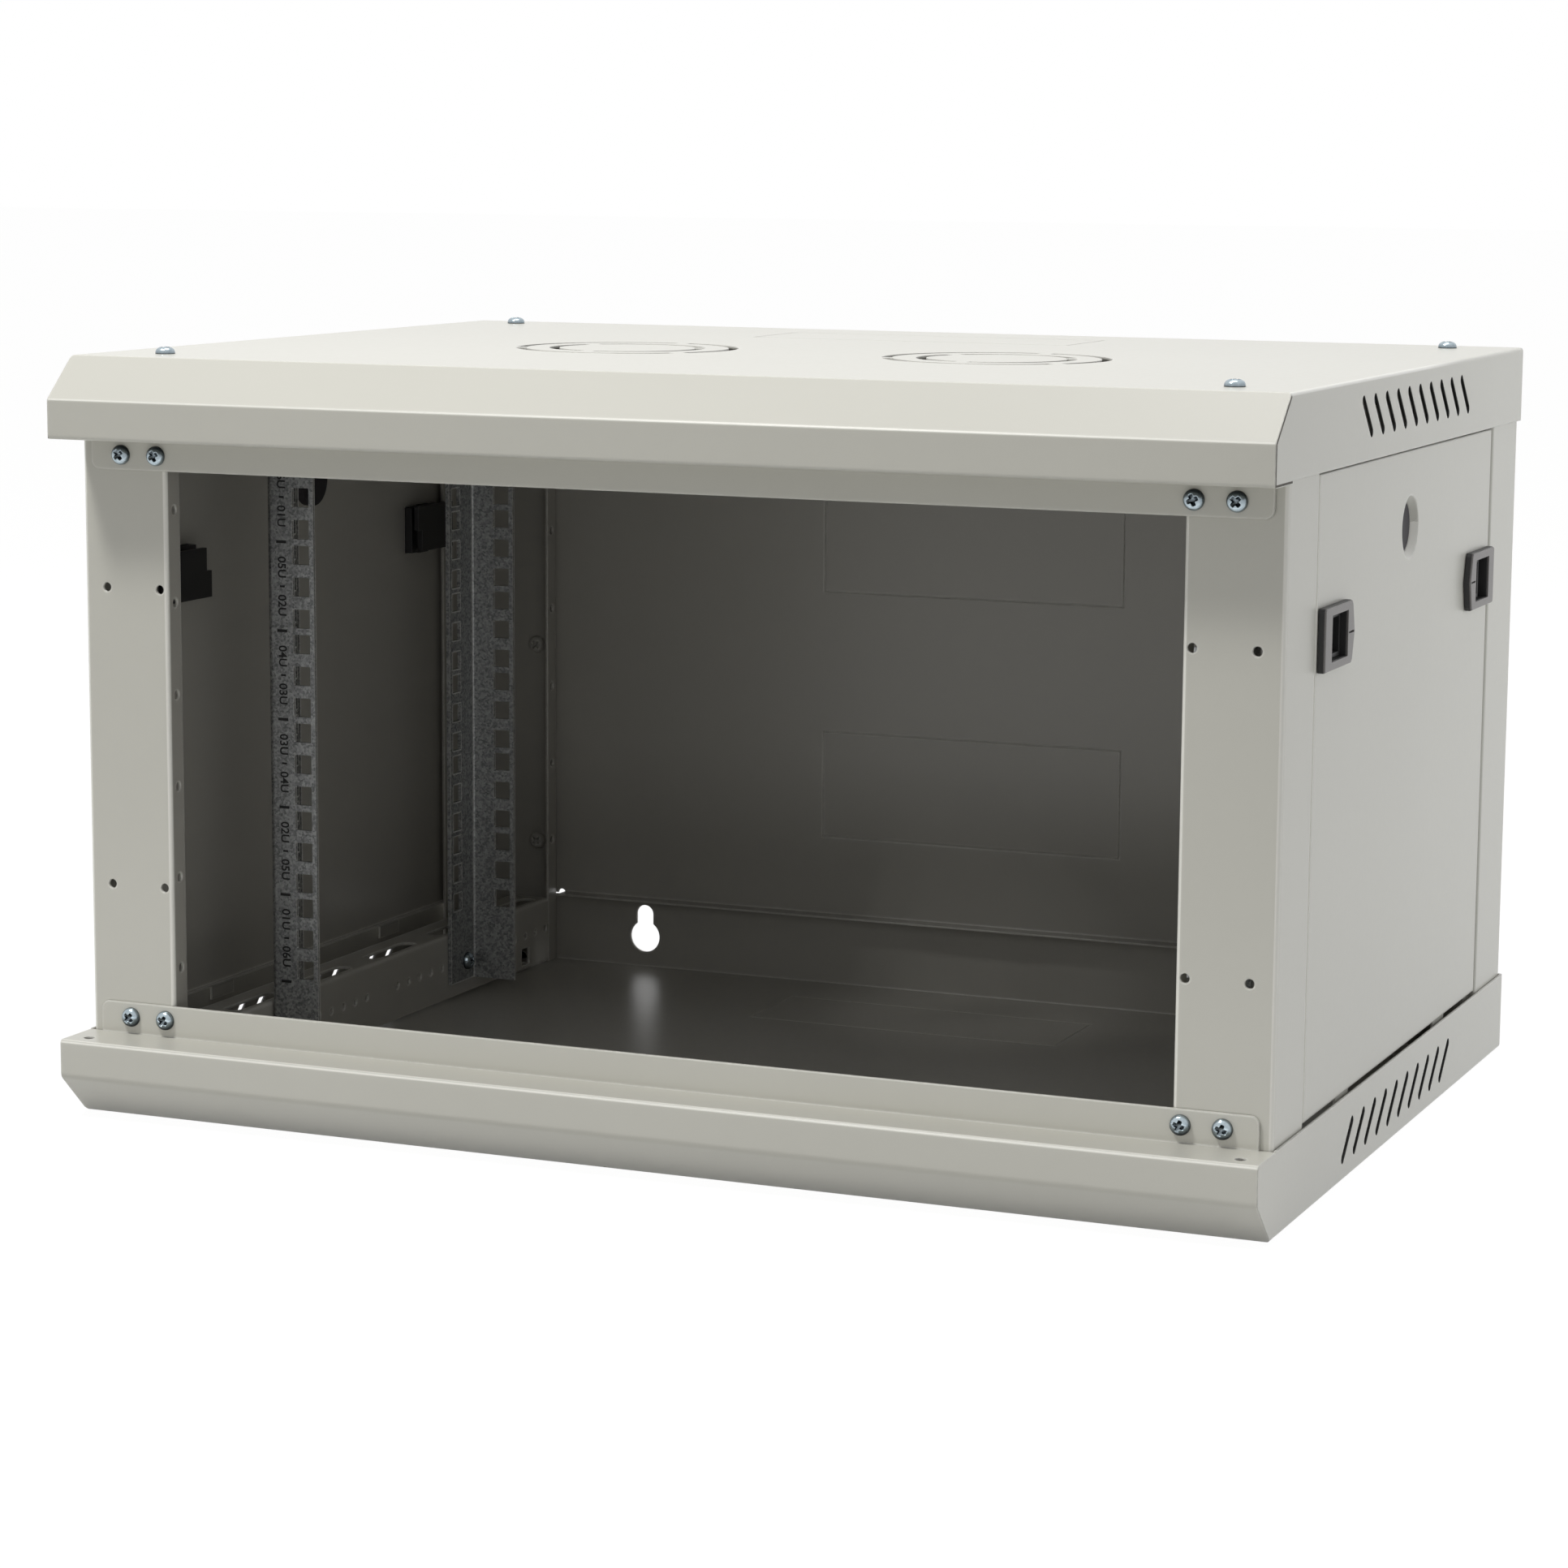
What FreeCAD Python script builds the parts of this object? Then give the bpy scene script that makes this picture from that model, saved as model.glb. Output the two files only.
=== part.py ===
import FreeCAD, Part
import math
import os

# Wall mount network cabinet, 6 rack units, 600 mm wide and 450 mm deep, without a door.
# Frame: +X to the right of a person facing the cabinet, +Y into it, +Z up. The origin is
# the middle of the base on the floor plane. All lengths are millimetres.

Vec = FreeCAD.Vector

# ---------------------------------------------------------------- driving dimensions
WIDTH = 600.0            # over the side flanges of the two covers
DEPTH = 450.0            # from the lips to the rear flanges
HEIGHT = 367.5           # from the base to the top plate
UNIT = 44.45             # one rack unit
UNITS = 6
HOLE_SPAN = 465.1        # between the middles of the two columns of rack holes
OPENING = 450.8          # clear width between the rack rails

CLEAR = 0.3              # running gap between two pieces
BEYOND = 4.0             # how far a cutting tool reaches past the sheet it cuts
COVER_T = 1.2            # sheet of the covers
BEND_R = 1.8             # outside radius of their bends
POST_T = 1.5             # sheet of the uprights and brackets
RAIL_T = 2.0             # sheet of the rack rails
PANEL_T = 1.0            # sheet of the side panels and the back panel
PANEL_R = 0.9            # outside radius of the side panels' bends

FRONT = -DEPTH / 2       # plane of the two lips
REAR = DEPTH / 2         # plane of the rear flanges
HALF = WIDTH / 2
MID_Z = HEIGHT / 2

LIP_DEPTH = 26.0         # how far the lips stand in front of the uprights
LOW_EDGE = 39.2          # top edge of the bottom cover's side and rear flanges
HIGH_EDGE = HEIGHT - 37.3  # lower edge of the top cover's side and rear flanges
BEVEL_RUN = 22.1         # depth of the bevel over the top lip
BEVEL_DROP = 19.9        # fall of that bevel
TOP_LIP_Z = 328.7        # underside of the top lip
LEDGE_Z = 38.8           # flat top of the bottom lip
NOSE_RUN = 21.4          # depth of the bevel under the bottom lip
NOSE_RISE = 20.6         # height at which that bevel starts
NOSE_BEND = 5.0          # outside radius of the bend above it
FACE_FLANGE = 15.4       # height of the screwed flanges on the uprights' faces
FLANGE_HALF = 292.5      # half width of those flanges
FLANGE_CORNER = 4.0      # radius of their free corners

POST_OUT = 298.3         # outer side of the uprights
POST_IN = 252.5          # inner side of the uprights
POST_FACE = FRONT + LIP_DEPTH + COVER_T + CLEAR  # front of the front uprights
POST_BACK = REAR - COVER_T - CLEAR  # rear of the rear uprights
POST_LIP = 12.0          # inward return beside the rack opening
FRONT_POST_END = FRONT + 75.3
REAR_POST_END = FRONT + 395.0
SEAT_STEP = 4.0          # how deep the panel seats lie behind the uprights' sides
SEAT_WIDTH = 8.5

PANEL_GAP = 1.5
PANEL_OUT = 297.9        # outer face of the side panels
PANEL_RIM = 3.3          # depth of the folded rim
PANEL_Z = (LOW_EDGE + 1.1, HIGH_EDGE - 1.1)
PANEL_Y = (FRONT_POST_END + PANEL_GAP, REAR_POST_END - PANEL_GAP)
PANEL_MID = sum(PANEL_Y) / 2

RAIL_OUT = 252.0         # outer side of the rack rails
RAIL_DEPTH = 29.2
RAIL_Z = (11.0, HEIGHT - 11.0)
FRONT_RAIL = FRONT + 120.0
REAR_RAIL = FRONT + 340.6
FIRST_UNIT = 49.9        # height at which rack unit 1 starts

WEB_IN = 252.3           # inner side of the depth brackets
BRACKET_Z = (3.3, 38.75)
BRACKET_OUT = 276.0
ROW_PITCH = 12.7         # spacing of the fixing holes along the brackets
ROW_Z = 21.6             # their height over the base
ROW_MIDDLE = FRONT + 236.8
ROW_GROUPS = (42.4, 169.8)   # middles of the groups of holes, to both sides of the row's middle
ROW_IN_GROUP = 5
ROW_HOLE_R = 1.8

FIX_X = 266.1            # screws that clamp covers, uprights and brackets together
FIX_Y = (FRONT + 51.1, FRONT + 424.9)
FACE_FIX_X = (256.8, 276.0)
FACE_FIX_Z = (47.0, 320.5)

PIVOT_X = 289.5          # door pivot bores in the two lips
PIVOT_Y = FRONT + 9.2
PIVOT_R = 2.6

SCREW_R = 2.5            # M5 shanks
SCREW_HOLE_R = 2.65
HEAD_R = 4.75
HEAD_H = 3.4

KEY_X = 196.8            # wall hooks
KEY_R = 9.0
KEY_SLOT_R = 5.1
KEY_RISE = 13.1          # from the middle of the round end to the end of the slot
KEY_LOW = 18.5
KEY_HIGH = HIGH_EDGE + 14.8

LATCH_Z = 256.0
LATCH_LENGTH = 48.5
LATCH_HALF = 14.3
LATCH_INSET = 1.7        # from the panel's side edge to the latch plate
LATCH_FACE = 301.7       # outer face of the bezel
BEZEL_T = 0.9
WINDOW = (11.0, 37.0)    # finger window, measured from the latch's edge end
WINDOW_HALF = 10.2
SLEEVE = (6.5, 42.5)
SLEEVE_HALF = 12.5
SLIDE_TRAVEL = 6.0

LOCK_Z = 293.0
LOCK_R = 15.0            # the drawn collar's mouth
LOCK_SMALL_R = 12.0      # and its inner end
LOCK_DEEP = 4.0


# ---------------------------------------------------------------- small geometry helpers
def block(x, y, z):
    """A box between three pairs of limits."""
    x0, x1 = sorted(x)
    y0, y1 = sorted(y)
    z0, z1 = sorted(z)
    return Part.makeBox(x1 - x0, y1 - y0, z1 - z0, Vec(x0, y0, z0))


def rod(radius, start, end):
    """A round bar between two points."""
    axis = Vec(*end) - Vec(*start)
    return Part.makeCylinder(radius, axis.Length, Vec(*start), axis)


def fuse(shapes):
    """One clean solid from shapes that touch or overlap."""
    first = shapes[0]
    if len(shapes) > 1:
        first = first.fuse(shapes[1:])
    return first.removeSplitter()


def cut(shape, tools):
    """The shape without every tool."""
    return shape.cut(tools).removeSplitter()


def group(shapes):
    """Several solids that stay separate in one node."""
    return Part.makeCompound(shapes)


def mirrored(shape):
    """The same piece on the other side of the cabinet."""
    return shape.mirror(Vec(0, 0, 0), Vec(1, 0, 0))


def flipped(shape):
    """The same piece turned over about the middle of the cabinet's height."""
    return shape.mirror(Vec(0, 0, MID_Z), Vec(0, 0, 1))


def rounded_path(points, radii):
    """An open wire through the points, each inner corner rounded by its own radius."""
    edges = []
    start = points[0]
    for here, after, radius in zip(points[1:-1], points[2:], radii):
        back = (start - here).normalize()
        ahead = (after - here).normalize()
        half = back.getAngle(ahead) / 2
        reach = radius / math.tan(half)
        first = here + back * reach
        last = here + ahead * reach
        middle = here + (back + ahead).normalize() * (radius / math.sin(half) - radius)
        edges.append(Part.makeLine(start, first))
        edges.append(Part.Arc(first, middle, last).toShape())
        start = last
    edges.append(Part.makeLine(start, points[-1]))
    return Part.Wire(edges)


def folded(points, radii, thickness, along):
    """A folded sheet: the path is its outer skin, the sheet lies on the side of thickness."""
    path = rounded_path(points, radii)
    return path.makeOffset2D(thickness, join=2, fill=True, openResult=True).extrude(along)


X_AXIS, Y_AXIS, Z_AXIS = Vec(1, 0, 0), Vec(0, 1, 0), Vec(0, 0, 1)


def edges_where(shape, axis, test):
    """The shape's straight edges along an axis whose two ends both pass the test."""
    found = []
    for edge in shape.Edges:
        ends = [vertex.Point for vertex in edge.Vertexes]
        if len(ends) == 2 and all(test(point) for point in ends):
            if (ends[1] - ends[0]).normalize().cross(axis).Length < 0.01:
                found.append(edge)
    return found


def near(value, target):
    return abs(value - target) < 0.01


def hole_z(x, y, z, radius):
    """A tool for a round hole through a level sheet."""
    return rod(radius, (x, y, z - BEYOND), (x, y, z + BEYOND))


def hole_y(x, y, z, radius):
    """A tool for a round hole through a sheet that faces front or rear."""
    return rod(radius, (x, y - BEYOND, z), (x, y + BEYOND, z))


def hole_x(x, y, z, radius):
    """A tool for a round hole through a sheet that faces a side."""
    return rod(radius, (x - BEYOND, y, z), (x + BEYOND, y, z))


def frame_groove(across, along, level, axis, width=0.8, depth=0.35):
    """A rectangular scored line, sunk into both faces of the sheet between two levels."""
    inner_across = (across[0] + width, across[1] - width)
    inner_along = (along[0] + width, along[1] - width)
    tools = []
    for base, way in ((level[0], 1), (level[1], -1)):
        pair = (base - way, base + way * depth)
        if axis == "z":
            tools.append(block(across, along, pair).cut(block(inner_across, inner_along, pair)))
        else:
            tools.append(block(across, pair, along).cut(block(inner_across, pair, inner_along)))
    return tools


# ---------------------------------------------------------------- covers
VENT_COUNT = 10
VENT_PITCH = 20.1
VENT_SLANT = 45.0        # degrees from upright
VENT_HALF_RISE = 9.8
VENT_R = 2.3
VENT_LOW = 18.0          # height of the lower rows' middles
VENT_HIGH = HEIGHT - 17.3
VENT_MID = FRONT + 235.5


def vent_slots(z, lean):
    """Ten slanted slots through both side flanges; lean says which way the tops point."""
    tools = []
    for index in range(VENT_COUNT):
        y = VENT_MID + (index - (VENT_COUNT - 1) / 2) * VENT_PITCH
        rise = VENT_HALF_RISE - VENT_R
        run = rise * math.tan(math.radians(VENT_SLANT)) * lean
        ends = [(y - run, z - rise), (y + run, z + rise)]
        for side in (-1, 1):
            inner, outer = side * (HALF - BEYOND), side * (HALF + BEYOND)
            first = rod(VENT_R, (inner, *ends[0]), (outer, *ends[0]))
            last = rod(VENT_R, (inner, *ends[1]), (outer, *ends[1]))
            span = Vec(0, ends[1][0] - ends[0][0], ends[1][1] - ends[0][1])
            flat = Part.makeBox(abs(outer - inner), span.Length, 2 * VENT_R)
            flat.translate(Vec(0, 0, -VENT_R))
            flat.rotate(Vec(0, 0, 0), Vec(1, 0, 0), math.degrees(math.atan2(span.z, span.y)))
            flat.translate(Vec(min(inner, outer), *ends[0]))
            tools += [first, last, flat]
    return tools


def keyholes(z):
    """Two wall hooks through the rear flange: a round hole with a slot above it."""
    tools = []
    for x in (-KEY_X, KEY_X):
        tools.append(hole_y(x, REAR, z, KEY_R))
        tools.append(hole_y(x, REAR, z + KEY_RISE, KEY_SLOT_R))
        sides = (x - KEY_SLOT_R, x + KEY_SLOT_R)
        tools.append(block(sides, (REAR - BEYOND, REAR + BEYOND), (z, z + KEY_RISE)))
    return tools


FAN_X = 98.0
FAN_Y = FRONT + 214.0
FAN_RINGS = ((53.0, 83.0), (36.5, 23.0))   # radius of each ring of slots, angle of one bridge
FAN_SLOT = 5.0
FAN_BRIDGE = 7.0


def fan_rings():
    """Two ventilation patterns in the top: two rings of three arc slots each."""
    tools = []
    for x in (-FAN_X, FAN_X):
        for radius, first in FAN_RINGS:
            ring = hole_z(x, FAN_Y, HEIGHT, radius + FAN_SLOT / 2)
            ring = ring.cut(hole_z(x, FAN_Y, HEIGHT, radius - FAN_SLOT / 2))
            for index in range(3):
                bridge = block((0, radius + FAN_SLOT), (-FAN_BRIDGE / 2, FAN_BRIDGE / 2),
                               (-BEYOND, BEYOND))
                bridge.rotate(Vec(0, 0, 0), Vec(0, 0, 1), first + 120 * index)
                bridge.translate(Vec(x, FAN_Y, HEIGHT))
                ring = ring.cut(bridge)
            tools.append(ring)
    return tools


KNOCK_HALF = 87.5        # cable entries, 175 by 60
KNOCK_DEEP = 60.0
KNOCK_Y = FRONT + 347.0


def level_entry(z0, z1):
    """The scored cable entry near the rear of the top and the bottom."""
    return frame_groove((-KNOCK_HALF, KNOCK_HALF), (KNOCK_Y, KNOCK_Y + KNOCK_DEEP), (z0, z1), "z")


def face_fixings(z):
    """Holes of the screwed flange: two at each end, at one height."""
    return [hole_y(side * x, POST_FACE, z, SCREW_HOLE_R) for x in FACE_FIX_X for side in (-1, 1)]


def face_flange(z0, z1, free):
    """The flange that laps the uprights' faces, its two free corners rounded."""
    y = FRONT + LIP_DEPTH
    plate = block((-FLANGE_HALF, FLANGE_HALF), (y, y + COVER_T), (z0, z1))
    corners = edges_where(plate, Y_AXIS, lambda p: near(abs(p.x), FLANGE_HALF) and near(p.z, free))
    return plate.makeFillet(FLANGE_CORNER, corners)


def prism(points, half):
    """A profile in the plane of depth and height, drawn out to both sides of the middle."""
    corners = [Vec(-half, y, z) for y, z in points]
    return Part.Face(Part.makePolygon(corners + corners[:1])).extrude(Vec(2 * half, 0, 0))


def top_cover():
    """Top plate, bevelled lip, side and rear flanges and the flange on the uprights."""
    lip = FRONT + LIP_DEPTH
    t = COVER_T
    outer = prism([(FRONT, TOP_LIP_Z), (FRONT, HEIGHT - BEVEL_DROP), (FRONT + BEVEL_RUN, HEIGHT),
                   (REAR, HEIGHT), (REAR, HIGH_EDGE), (lip + t, HIGH_EDGE), (lip + t, TOP_LIP_Z)],
                  HALF)
    bends = edges_where(outer, Y_AXIS, lambda p: near(abs(p.x), HALF) and near(p.z, HEIGHT))
    bends += edges_where(outer, X_AXIS, lambda p: near(p.y, REAR) and near(p.z, HEIGHT))
    bends += edges_where(outer, Z_AXIS, lambda p: near(p.y, REAR) and near(abs(p.x), HALF))
    bends += edges_where(outer, X_AXIS, lambda p: near(p.y, FRONT))
    outer = outer.makeFillet(BEND_R, bends)
    lean = math.atan2(BEVEL_RUN, BEVEL_DROP)
    low_corner = t * math.tan(lean / 2)
    high_corner = t * math.tan((math.pi / 2 - lean) / 2)
    inner = prism([(FRONT + t, TOP_LIP_Z + t), (FRONT + t, HEIGHT - BEVEL_DROP - low_corner),
                   (FRONT + BEVEL_RUN + high_corner, HEIGHT - t), (REAR - t, HEIGHT - t),
                   (REAR - t, HIGH_EDGE - BEYOND), (lip + t, HIGH_EDGE - BEYOND),
                   (lip + t, TOP_LIP_Z + t)], HALF - t)
    shell = outer.cut(inner)
    flange = face_flange(TOP_LIP_Z - FACE_FLANGE, TOP_LIP_Z + t, TOP_LIP_Z - FACE_FLANGE)
    tools = vent_slots(VENT_HIGH, -1) + keyholes(KEY_HIGH) + fan_rings()
    tools += level_entry(HEIGHT - t, HEIGHT) + face_fixings(FACE_FIX_Z[1])
    tools += [hole_z(side * FIX_X, y, HEIGHT, SCREW_HOLE_R) for side in (-1, 1) for y in FIX_Y]
    tools += [hole_z(side * PIVOT_X, PIVOT_Y, TOP_LIP_Z, PIVOT_R) for side in (-1, 1)]
    return cut(fuse([shell, flange]), tools)


def bottom_cover():
    """Base plate, bevelled lip, side and rear flanges and the flange on the uprights."""
    lip = FRONT + LIP_DEPTH
    t = COVER_T
    outer = prism([(FRONT, LEDGE_Z), (FRONT, NOSE_RISE), (FRONT + NOSE_RUN, 0), (REAR, 0),
                   (REAR, LOW_EDGE), (lip + t, LOW_EDGE), (lip + t, LEDGE_Z)], HALF)
    bends = edges_where(outer, Y_AXIS, lambda p: near(abs(p.x), HALF) and near(p.z, 0))
    bends += edges_where(outer, X_AXIS, lambda p: near(p.y, REAR) and near(p.z, 0))
    bends += edges_where(outer, Z_AXIS, lambda p: near(p.y, REAR) and near(abs(p.x), HALF))
    bends += edges_where(outer, X_AXIS, lambda p: near(p.y, FRONT) and near(p.z, LEDGE_Z))
    outer = outer.makeFillet(BEND_R, bends)
    outer = outer.makeFillet(NOSE_BEND, edges_where(outer, X_AXIS, lambda p: near(p.z, NOSE_RISE)))
    lean = math.atan2(NOSE_RUN, NOSE_RISE)
    high_corner = t * math.tan(lean / 2)
    low_corner = t * math.tan((math.pi / 2 - lean) / 2)
    inner = prism([(FRONT + t, LEDGE_Z - t), (FRONT + t, NOSE_RISE + high_corner),
                   (FRONT + NOSE_RUN + low_corner, t), (REAR - t, t), (REAR - t, LOW_EDGE + BEYOND),
                   (lip + t, LOW_EDGE + BEYOND), (lip + t, LEDGE_Z - t)], HALF - t)
    inner = inner.makeFillet(NOSE_BEND - t, edges_where(
        inner, X_AXIS, lambda p: near(p.z, NOSE_RISE + high_corner)))
    shell = outer.cut(inner)
    flange = face_flange(LEDGE_Z - t, LEDGE_Z + FACE_FLANGE, LEDGE_Z + FACE_FLANGE)
    tools = vent_slots(VENT_LOW, 1) + keyholes(KEY_LOW)
    tools += level_entry(0, t) + face_fixings(FACE_FIX_Z[0])
    tools += [hole_z(side * FIX_X, y, 0, SCREW_HOLE_R) for side in (-1, 1) for y in FIX_Y]
    tools += [hole_z(side * PIVOT_X, PIVOT_Y, LEDGE_Z, PIVOT_R) for side in (-1, 1)]
    return cut(fuse([shell, flange]), tools)


# ---------------------------------------------------------------- uprights, brackets, back
POST_Z = (COVER_T + CLEAR, HEIGHT - COVER_T - CLEAR)
POST_BEND = 2.2          # outside radius of the uprights' bends
SEAT_BEND = 0.6          # inside radius of the bend to the panel seat
TIE_HOLE_R = 2.2         # holes in the inner returns, one in each rack unit
TIE_HOLE_DEEP = 6.8      # from the upright's face to their middles
HINGE_X = (256.9, 286.1)  # spare door fixing holes in the front uprights
HINGE_Z = (112.0, 256.6)
HINGE_R = 2.2


def upright(face, end, way):
    """A folded column from its face to its panel seat; way is +1 at the front, -1 at the rear."""
    t = POST_T
    points = [(POST_IN, face + way * POST_LIP), (POST_IN, face), (POST_OUT, face), (POST_OUT, end),
              (POST_OUT - SEAT_STEP, end), (POST_OUT - SEAT_STEP, end + way * SEAT_WIDTH)]
    path = [Vec(x, y, POST_Z[0]) for x, y in points]
    radii = [POST_BEND, POST_BEND, POST_BEND, SEAT_BEND]
    sheet = folded(path, radii, -t * way, Vec(0, 0, POST_Z[1] - POST_Z[0]))
    caps = []
    for z in (POST_Z[0], POST_Z[1] - t):
        caps.append(block((POST_IN + t, POST_OUT - t), (face + way * t, end - way * t), (z, z + t)))
    fix_y = FIX_Y[0] if way > 0 else FIX_Y[1]
    tools = [rod(SCREW_HOLE_R, (FIX_X, fix_y, 0), (FIX_X, fix_y, HEIGHT))]
    for index in range(UNITS):
        z = FIRST_UNIT + (index + 0.5) * UNIT
        tools.append(hole_x(POST_IN, face + way * TIE_HOLE_DEEP, z, TIE_HOLE_R))
    return cut(fuse([sheet] + caps), tools)


def front_upright():
    """The front column with its cover fixings and spare door fixing holes."""
    post = upright(POST_FACE, FRONT_POST_END, 1)
    tools = [hole_y(x, POST_FACE, z, SCREW_HOLE_R) for x in FACE_FIX_X for z in FACE_FIX_Z]
    tools += [hole_y(x, POST_FACE, z, HINGE_R) for x in HINGE_X for z in HINGE_Z]
    return cut(post, tools)


BACK_HALF = 276.0
BACK_Z = (LOW_EDGE + 0.8, HIGH_EDGE - 0.8)
BACK_Y = POST_BACK + CLEAR
BACK_FOLD = 10.0
FOLD_HALF = POST_IN - 5.0
RELIEF_R = 2.2           # round reliefs at the ends of the folds
BACK_FIX_X = 264.0
BACK_FIX_Z = (70.0, MID_Z, HEIGHT - 70.0)
BACK_KNOCK_Z = 84.4      # lower edge of the lower cable entry
BACK_KNOCK_HIGH = HEIGHT - 1.0 - BACK_KNOCK_Z - KNOCK_DEEP


def rear_upright():
    """The rear column with the threaded holes of the back panel."""
    post = upright(POST_BACK, REAR_POST_END, -1)
    return cut(post, [hole_y(BACK_FIX_X, POST_BACK, z, SCREW_HOLE_R) for z in BACK_FIX_Z])


def back_panel():
    """Flat rear sheet with two scored cable entries and inward folds at top and bottom."""
    faces = (BACK_Y, BACK_Y + PANEL_T)
    sheet = block((-BACK_HALF, BACK_HALF), faces, BACK_Z)
    folds = []
    for z in (BACK_Z[0], BACK_Z[1] - PANEL_T):
        folds.append(block((-FOLD_HALF, FOLD_HALF), (BACK_Y - BACK_FOLD, BACK_Y), (z, z + PANEL_T)))
    tools = []
    for side in (-1, 1):
        tools += [hole_y(side * BACK_FIX_X, REAR, z, SCREW_HOLE_R) for z in BACK_FIX_Z]
        tools += [hole_y(side * (FOLD_HALF + RELIEF_R), REAR, z, RELIEF_R) for z in BACK_Z]
    for z in (BACK_KNOCK_Z, BACK_KNOCK_HIGH):
        tools += frame_groove((-KNOCK_HALF, KNOCK_HALF), (z, z + KNOCK_DEEP), faces, "y")
    return cut(fuse([sheet] + folds), tools)


SLOT_FIRST = 117.5                  # middle of the first cable tie slot, from the front lip
SLOT_PITCH = 72.0
SLOT_COUNT = 5
SLOT_LENGTH = 48.0
SLOT_X = 261.0
SLOT_R = 5.0
BRACKET_GAP = 0.5                   # between a bracket's end and the return of an upright
BRACKET_Y = (POST_FACE + POST_LIP + BRACKET_GAP, POST_BACK - POST_LIP - BRACKET_GAP)
FOOT_HALF = 11.0
FOOT_OUT = FIX_X + 10.0
ACCESS_Z = (5.0, 14.5)              # square openings under the outer groups of holes
ACCESS_HALF = 4.75


def bracket():
    """Depth bracket: a web with the row of fixing holes, a level flange and two feet."""
    t = POST_T
    web = block((WEB_IN, WEB_IN + t), BRACKET_Y, BRACKET_Z)
    flange = block((WEB_IN, BRACKET_OUT), BRACKET_Y, (BRACKET_Z[1] - t, BRACKET_Z[1]))
    angle = fuse([web, flange])
    bend = edges_where(angle, Y_AXIS, lambda p: near(p.x, WEB_IN) and near(p.z, BRACKET_Z[1]))
    body = angle.makeFillet(BEND_R, bend)
    feet = []
    for y in FIX_Y:
        ends = (max(y - FOOT_HALF, BRACKET_Y[0]), min(y + FOOT_HALF, BRACKET_Y[1]))
        feet.append(block((WEB_IN, FOOT_OUT), ends, (BRACKET_Z[0], BRACKET_Z[0] + t)))
    tools = [hole_z(FIX_X, y, BRACKET_Z[0], SCREW_HOLE_R) for y in FIX_Y]
    for offset in ROW_GROUPS:
        for middle in (ROW_MIDDLE - offset, ROW_MIDDLE + offset):
            first = middle - (ROW_IN_GROUP - 1) / 2 * ROW_PITCH
            for index in range(ROW_IN_GROUP):
                tools.append(hole_x(WEB_IN, first + index * ROW_PITCH, ROW_Z, ROW_HOLE_R))
    for y in (FRONT_RAIL + RAIL_SCREW, REAR_RAIL - RAIL_SCREW):
        tools.append(hole_x(WEB_IN, y, ROW_Z, SCREW_HOLE_R))
    for index in range(SLOT_COUNT):
        middle = FRONT + SLOT_FIRST + index * SLOT_PITCH
        y0 = middle - SLOT_LENGTH / 2 + SLOT_R
        y1 = middle + SLOT_LENGTH / 2 - SLOT_R
        tools += [hole_z(SLOT_X, y, BRACKET_Z[1], SLOT_R) for y in (y0, y1)]
        through = (BRACKET_Z[1] - BEYOND, BRACKET_Z[1] + BEYOND)
        tools.append(block((SLOT_X - SLOT_R, SLOT_X + SLOT_R), (y0, y1), through))
    for y in (ROW_MIDDLE - ROW_GROUPS[1], ROW_MIDDLE + ROW_GROUPS[1]):
        through = (WEB_IN - BEYOND, WEB_IN + BEYOND)
        tools.append(block(through, (y - ACCESS_HALF, y + ACCESS_HALF), ACCESS_Z))
    return cut(fuse([body] + feet), tools)


# ---------------------------------------------------------------- rack rails
RACK_HOLES = (6.35, 22.225, 38.1)   # three square holes in each unit
SQUARE = 9.5
SIDE_HOLE = 8.1                     # from the free edge to the side flange's holes
RAIL_SCREW = 10.45                  # from a rail's rack face to its screws
RAIL_BEND = 3.0                     # outside radius of a rail's bend


def rail(face, way):
    """An angle with square holes in both flanges; way is +1 for a front rail, -1 for a rear one."""
    t = RAIL_T
    points = [(OPENING / 2, face), (RAIL_OUT, face), (RAIL_OUT, face + way * RAIL_DEPTH)]
    path = [Vec(x, y, RAIL_Z[0]) for x, y in points]
    sheet = folded(path, [RAIL_BEND], -t * way, Vec(0, 0, RAIL_Z[1] - RAIL_Z[0]))
    half = SQUARE / 2
    side_y = face + way * (RAIL_DEPTH - SIDE_HOLE)
    rack_tool = ((HOLE_SPAN / 2 - half, HOLE_SPAN / 2 + half), (face - BEYOND, face + BEYOND))
    side_tool = ((RAIL_OUT - BEYOND, RAIL_OUT + BEYOND), (side_y - half, side_y + half))
    tools = []
    for unit in range(UNITS):
        for offset in RACK_HOLES:
            z = FIRST_UNIT + unit * UNIT + offset
            tools.append(block(*rack_tool, (z - half, z + half)))
            tools.append(block(*side_tool, (z - half, z + half)))
    screw_y = face + way * RAIL_SCREW
    tools += [hole_x(RAIL_OUT, screw_y, z, SCREW_HOLE_R) for z in (ROW_Z, HEIGHT - ROW_Z)]
    return cut(sheet, tools)


# ---------------------------------------------------------------- side panels
HOOK_Y = (-90.0, 90.0)              # panel hooks, from the middle of the panel
HOOK_HALF = 11.0
HOOK_X = (295.6, 296.6)
HOOK_Z = 33.0                       # lower end of the hooks
HOOK_LAP = 0.5                      # how far they run up into the folded rim


def latch_y(u, way):
    """Depth of a point on a latch, u from its edge end towards the panel's middle."""
    edge = PANEL_Y[0] if way > 0 else PANEL_Y[1]
    return edge + way * (LATCH_INSET + u)


def lock_cone(grow):
    """The drawn collar as a solid cone, its side moved outwards by grow."""
    inner_end = Vec(PANEL_OUT - LOCK_DEEP, PANEL_MID, LOCK_Z)
    return Part.makeCone(LOCK_SMALL_R + grow, LOCK_R + grow, LOCK_DEEP, inner_end, X_AXIS)


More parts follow.
